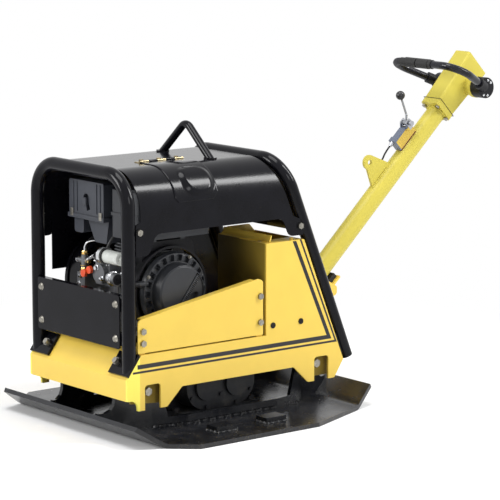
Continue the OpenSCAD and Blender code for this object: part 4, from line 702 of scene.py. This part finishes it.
class COMPACTOR_OT_flap(bpy.types.Operator):
    """Makes the hood's flap: a sheet bent over the shoulder, with clipped lower corners and a pressed dome"""
    bl_idname = "compactor.flap"
    bl_label = "Hood flap"

    def execute(self, context):
        low, high = (np.array(c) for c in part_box("hood_flap"))
        start, r1 = 0.066, 0.1095
        end = math.asin(max(-0.6, min(0.6, (low[2] - SHOULDER_Z) / r1)))
        flat, arc = SHOULDER_X - start, r1 * (math.pi / 2 - end)
        y = np.linspace(low[1] + 0.0003, high[1] - 0.0003, 90)
        edge = np.minimum(y - y[0], y[-1] - y)
        # clipped corners: the sheet is shorter near its ends
        cut = np.where(y < y.mean(), 0.011, 0.020)
        length = flat + arc - 0.0005 - np.maximum(0, cut - edge * 1.1)
        s = np.linspace(0, 1, 150)[:, None] * length[None]
        yy = np.broadcast_to(y[None], s.shape)
        angle = math.pi / 2 - np.clip(s - flat, 0, None) / r1
        across = (yy - (low[1] * 0.40 + high[1] * 0.60)) / 0.054
        down = (s - (flat + arc * 0.60)) / 0.052
        # the dome: 6.2 mm high, rising with 1 - rho, rho being a rounded oblong's distance from its centre
        rho = (abs(across) ** 2.6 + abs(down) ** 2.6) ** (1 / 2.6)
        swell = 0.0062 * ease(1.0 - rho, 0, 0.36)
        near = np.minimum(edge[None], length[None] - s)
        roll = 0.0012 * (1 - np.clip(near / 0.0032, 0, 1)) ** 2

        def at(r):
            x = np.where(s < flat, start + s, SHOULDER_X + r * np.cos(angle))
            z = np.where(s < flat, SHOULDER_Z + r, SHOULDER_Z + r * np.sin(angle))
            return np.stack([x, yy, z], -1)
        piece("flap_sheet", shell(at(r1 + swell - roll), at(r1 - 0.0018)), "flap", "black",
              ["hood_flap"], weld=1e-7, crease=50)
        # knuckles of the hinge that belong to the flap
        step = (high[1] - low[1]) / 5
        rolls = [place(lathe([(0.0018, 0), (0.0033, 0), (0.0033, step - 0.0012), (0.0018, step - 0.0012)], 20),
                       (0.062, low[1] + (i + 0.03) * step + 0.0003, 0.6935), (0, 1, 0)) for i in (1, 3)]
        leaves = [rounded_box((0.0635, low[1] + i * step + 0.001, 0.6906),
                              (0.0700, low[1] + (i + 1) * step - 0.001, 0.6925), 0.0006) for i in (1, 3)]
        piece("flap_knuckles", join(*rolls, *leaves), "flap", "black")
        return {"FINISHED"}


class COMPACTOR_OT_welds(bpy.types.Operator):
    """Lays weld beads along the plate's webs, its pads, the eye plate, the flange and the lifting bail's feet"""
    bl_idname = "compactor.welds"
    bl_label = "Welds"

    def execute(self, context):
        r = context.scene.compactor_sizes.bead
        t = PLATE_TOP
        beads = []
        for s in (-1, 1):
            # along the outer side of each web, and round each pad
            beads.append(bead([(s * 0.163, -0.251, t), (s * 0.185, -0.150, t), (s * 0.185, 0.150, t)], r))
            for y in (-0.158, 0.006):
                x0, x1 = 0.274 * s, 0.318 * s
                beads.append(bead([(x0, y - 0.001, t), (x1, y - 0.001, t)], r * 0.8))
                beads.append(bead([(x0, y + 0.067, t), (x1, y + 0.067, t)], r * 0.8))
                beads.append(bead([(x1 + s * 0.001, y, t), (x1 + s * 0.001, y + 0.066, t)], r * 0.7))
        piece("plate_welds", join(*beads), "base", "plate")
        # both sides of the eye plate where it stands on the tube
        eye = []
        rise = math.sqrt(TUBE_RADIUS ** 2 - 0.0055 ** 2) + 0.0003
        for s in (-1, 1):
            eye.append(bead([on_handle(s * 0.0055, rise, v) for v in np.linspace(0.345, 0.425, 12)], 0.0024))
        # round the tube under the flange
        a, reach = np.linspace(0, 2 * np.pi, 60), TUBE_RADIUS + 0.0006
        eye.append(bead([on_handle(reach * math.sin(v), reach * math.cos(v), 0.6600) for v in a], 0.0030))
        piece("handle_welds", join(*eye), "handle", "lemon_shaded")
        feet = [bead([(s * 0.104 + 0.0128 * math.cos(v), -0.012 + 0.0128 * math.sin(v), 0.6907) for v in a], 0.0026)
                for s in (-1, 1)]
        piece("bail_welds", join(*feet), "deck", "black")
        return {"FINISHED"}


class COMPACTOR_OT_engine_fittings(bpy.types.Operator):
    """Adds the hoses, pipes, nuts, spring and clips of the engine that show through the front window"""
    bl_idname = "compactor.engine_fittings"
    bl_label = "Engine fittings"

    def execute(self, context):
        def pipe(points, r, n=70):
            return tube(smooth(points, n), r, 12)
        hoses = [pipe([(0.040, -0.300, 0.444), (0.030, -0.316, 0.440), (0.014, -0.321, 0.446),
                       (0.000, -0.312, 0.452), (-0.008, -0.300, 0.448), (-0.010, -0.292, 0.436)], 0.0045),
                 pipe([(0.046, -0.306, 0.470), (0.050, -0.300, 0.488), (0.052, -0.286, 0.506),
                       (0.048, -0.262, 0.520), (0.040, -0.240, 0.528)], 0.0042),
                 pipe([(-0.078, -0.282, 0.420), (-0.098, -0.276, 0.440), (-0.108, -0.262, 0.462),
                       (-0.104, -0.240, 0.480), (-0.090, -0.220, 0.490)], 0.0040)]
        piece("fuel_hoses", join(*hoses), "deck", "hose")
        pipes = [pipe([(-0.078, -0.290, 0.446), (-0.078, -0.289, 0.462), (-0.070, -0.284, 0.474),
                       (-0.056, -0.268, 0.478), (-0.050, -0.240, 0.472)], 0.0024),
                 pipe([(-0.104, -0.290, 0.424), (-0.116, -0.284, 0.420), (-0.122, -0.262, 0.402),
                       (-0.118, -0.240, 0.378)], 0.0024),
                 pipe([(0.078, -0.300, 0.382), (0.078, -0.297, 0.396), (0.080, -0.288, 0.410),
                       (0.084, -0.262, 0.420)], 0.0034)]
        piece("steel_pipes", join(*pipes), "deck", "chrome")
        # spring: a helix of radius 3.6 mm along a straight line
        t = np.linspace(0, 1, 420)
        start, end = np.array((-0.052, -0.303, 0.430)), np.array((0.016, -0.307, 0.462))
        axis = unit(end - start)
        side = unit(np.cross(axis, (0, 1, 0)))
        turn = 2 * np.pi * 15 * np.clip((t - 0.08) / 0.84, 0, 1)
        # the coil starts and ends on the line
        swing = 0.0036 * np.sin(np.clip(t * 12, 0, np.pi / 2)) * np.sin(np.clip((1 - t) * 12, 0, np.pi / 2))
        coil = np.cos(turn)[:, None] * side + np.sin(turn)[:, None] * np.cross(axis, side)
        line = start + t[:, None] * (end - start) + swing[:, None] * coil
        piece("governor_spring", tube(line, 0.0007, 6), "deck", "chrome", crease=80)
        # nuts: the face each sits on, its axis, width and height
        above, ahead = (0, 0, 1), (0, -1, 0)
        nuts = [((-0.078, -0.290, 0.396), above, 0.021, 0.010), ((-0.078, -0.290, 0.412), above, 0.018, 0.008),
                ((-0.078, -0.290, 0.442), above, 0.015, 0.008), ((-0.064, -0.290, 0.424), (1, 0, 0), 0.013, 0.008)]
        piece("brass_nuts", join(*[hex_bolt(*n) for n in nuts]), "deck", "brass")
        bright = [((-0.010, -0.299, 0.434), above, 0.015, 0.007), ((0.006, -0.3105, 0.418), ahead, 0.012, 0.006),
                  ((-0.104, -0.290, 0.424), (-1, 0, 0), 0.013, 0.007), ((0.028, -0.3105, 0.392), ahead, 0.011, 0.006),
                  ((-0.012, -0.2965, 0.384), ahead, 0.011, 0.006), ((0.036, -0.2965, 0.430), ahead, 0.011, 0.005),
                  ((-0.090, -0.3005, 0.362), ahead, 0.011, 0.005), ((0.078, -0.300, 0.380), above, 0.014, 0.007),
                  ((-0.082, -0.3005, 0.384), ahead, 0.010, 0.005),
                  ((0.052, -0.318, 0.470), (0, -0.6, 0.8), 0.010, 0.006)]
        piece("bright_nuts", join(*[hex_bolt(*n) for n in bright]), "deck", "chrome")
        # cap of the stop magnet: bright rings behind a black knob
        rings = lathe([(0.0005, 0), (0.0178, 0), (0.0185, 0.001), (0.0185, 0.004), (0.0165, 0.0048),
                       (0.0165, 0.0066), (0.0185, 0.0074), (0.0185, 0.0104), (0.0165, 0.0112), (0.0165, 0.0130),
                       (0.0172, 0.0138), (0.0172, 0.016), (0.0005, 0.016)], 44)
        piece("magnet_rings", place(rings, (0.066, -0.306, 0.398), (1, 0, 0)), "deck", "chrome")
        knob = lathe([(0.0005, 0), (0.0150, 0), (0.0160, 0.0015), (0.0160, 0.0080), (0.0140, 0.0100),
                      (0.0050, 0.0104), (0.0046, 0.0122), (0.0005, 0.0124)], 44)
        piece("magnet_cap", place(knob, (0.0825, -0.306, 0.398), (1, 0, 0)), "deck", "matt")
        # filter housing: ribs of the cover, its seam, a raised square and two clips
        trim = [rounded_box((x, -0.3022, 0.556), (x + 0.003, -0.2995, 0.634), 0.0008)
                for x in (-0.112, -0.096, -0.008, 0.008)]
        trim += [rounded_box((-0.131, -0.3035, 0.5375), (0.024, -0.3015, 0.5405), 0.0008)]
        trim += [rounded_box((-0.060, -0.3080, 0.5745), (-0.046, -0.2990, 0.5960), 0.003)]
        piece("filter_trim", join(*trim), "deck", "casing_top")
        clips = [rounded_box((x, -0.3035, 0.541), (x + 0.012, -0.3005, 0.562), 0.001) for x in (-0.122, 0.006)]
        piece("filter_clips", join(*clips), "deck", "bolt")
        return {"FINISHED"}


class COMPACTOR_OT_buffers(bpy.types.Operator):
    """Makes the four rubber buffers: each a waisted, ribbed body"""
    bl_idname = "compactor.buffers"
    bl_label = "Rubber buffers"

    def execute(self, context):
        h = np.linspace(0, 0.0360, 60)
        r = 0.0285 - 0.0040 * np.sin(np.pi * h / 0.036) + 0.0009 * np.sin(2 * np.pi * h / 0.006)
        body = np.concatenate([[(0.0005, 0)], np.stack([r, h], -1), [(0.0005, 0.0360)]])
        shapes = [place(lathe(body, 48), (s * 0.1525, y, 0.119), (s, 0, 0)) for s in (-1, 1) for y in (-0.290, 0.276)]
        piece("buffer_rubbers", join(*shapes), "base", "rubber", ["rubber_buffers"], crease=60)
        return {"FINISHED"}


class COMPACTOR_OT_controls(bpy.types.Operator):
    """Adds the screws of the bar's hubs, the gasket under the head and the rubber edge of the left sheet"""
    bl_idname = "compactor.controls"
    bl_label = "Controls"

    def execute(self, context):
        centre = np.array(on_handle(0, -0.018, 0.785))
        screws = []
        for s in (-1, 1):
            for v in (0.30, 0.87, 2.91, 3.59):
                at = centre + np.array((s * 0.0978, 0.0222 * math.sin(v), 0.0222 * math.cos(v)))
                profile = [(0.0005, 0), (0.0040, 0), (0.0040, 0.0012), (0.0030, 0.0026), (0.0016, 0.0026),
                           (0.0014, 0.0010), (0.0005, 0.0010)]
                screws.append(place(lathe(profile, 24), at, (s, 0, 0)))
        # rubber edge of the left sheet, against the rear frame's leg
        z = np.linspace(0.306, 0.474, 40)
        line = np.stack([np.full(40, -0.2147), 0.249006 - 0.4081 * (z - 0.400), z], -1)
        piece("sheet_edge", tube(line, 0.0031, 12), "deck", "rubber")
        # gasket between the head and its flange
        half = 0.0352
        outline = [(-half, 0.0432), (half, 0.0432), (half, -0.0312), (-half, -0.0312)]
        ring = np.array([on_handle(x, up, 0.679) for x, up in outline])
        line = np.concatenate([np.linspace(ring[i], ring[(i + 1) % 4], 20, endpoint=False) for i in range(4)])
        piece("head_gasket", tube(line, 0.0009, 6, closed=True), "handle", "matt")
        piece("hub_screws", join(*screws), "control_bar", "chrome")
        return {"FINISHED"}


CLASSES = [CompactorPaint, CompactorSizes, COMPACTOR_OT_stage, COMPACTOR_OT_finishes, COMPACTOR_OT_starter,
           COMPACTOR_OT_flap, COMPACTOR_OT_welds, COMPACTOR_OT_engine_fittings, COMPACTOR_OT_buffers,
           COMPACTOR_OT_controls]
STEPS = ["stage", "finishes", "starter", "flap", "welds", "engine_fittings", "buffers", "controls"]


class COMPACTOR_PT_panel(bpy.types.Panel):
    """Lists the sizes, the colours and the steps."""
    bl_idname = "COMPACTOR_PT_panel"
    bl_label = "Plate compactor"
    bl_space_type = "VIEW_3D"
    bl_region_type = "UI"
    bl_category = "Compactor"

    def draw(self, context):
        for group in (context.scene.compactor_paint, context.scene.compactor_sizes):
            for name in group.__annotations__:
                self.layout.prop(group, name)
        for step in STEPS:
            self.layout.operator("compactor." + step)


def register():
    for cls in CLASSES + [COMPACTOR_PT_panel]:
        bpy.utils.register_class(cls)
    bpy.types.Scene.compactor_paint = PointerProperty(type=CompactorPaint)
    bpy.types.Scene.compactor_sizes = PointerProperty(type=CompactorSizes)


def unregister():
    del bpy.types.Scene.compactor_sizes
    del bpy.types.Scene.compactor_paint
    for cls in reversed(CLASSES + [COMPACTOR_PT_panel]):
        bpy.utils.unregister_class(cls)


def main():
    """Runs every step in order."""
    register()
    for step in STEPS:
        getattr(bpy.ops.compactor, step)()


if __name__ == "__main__":
    main()
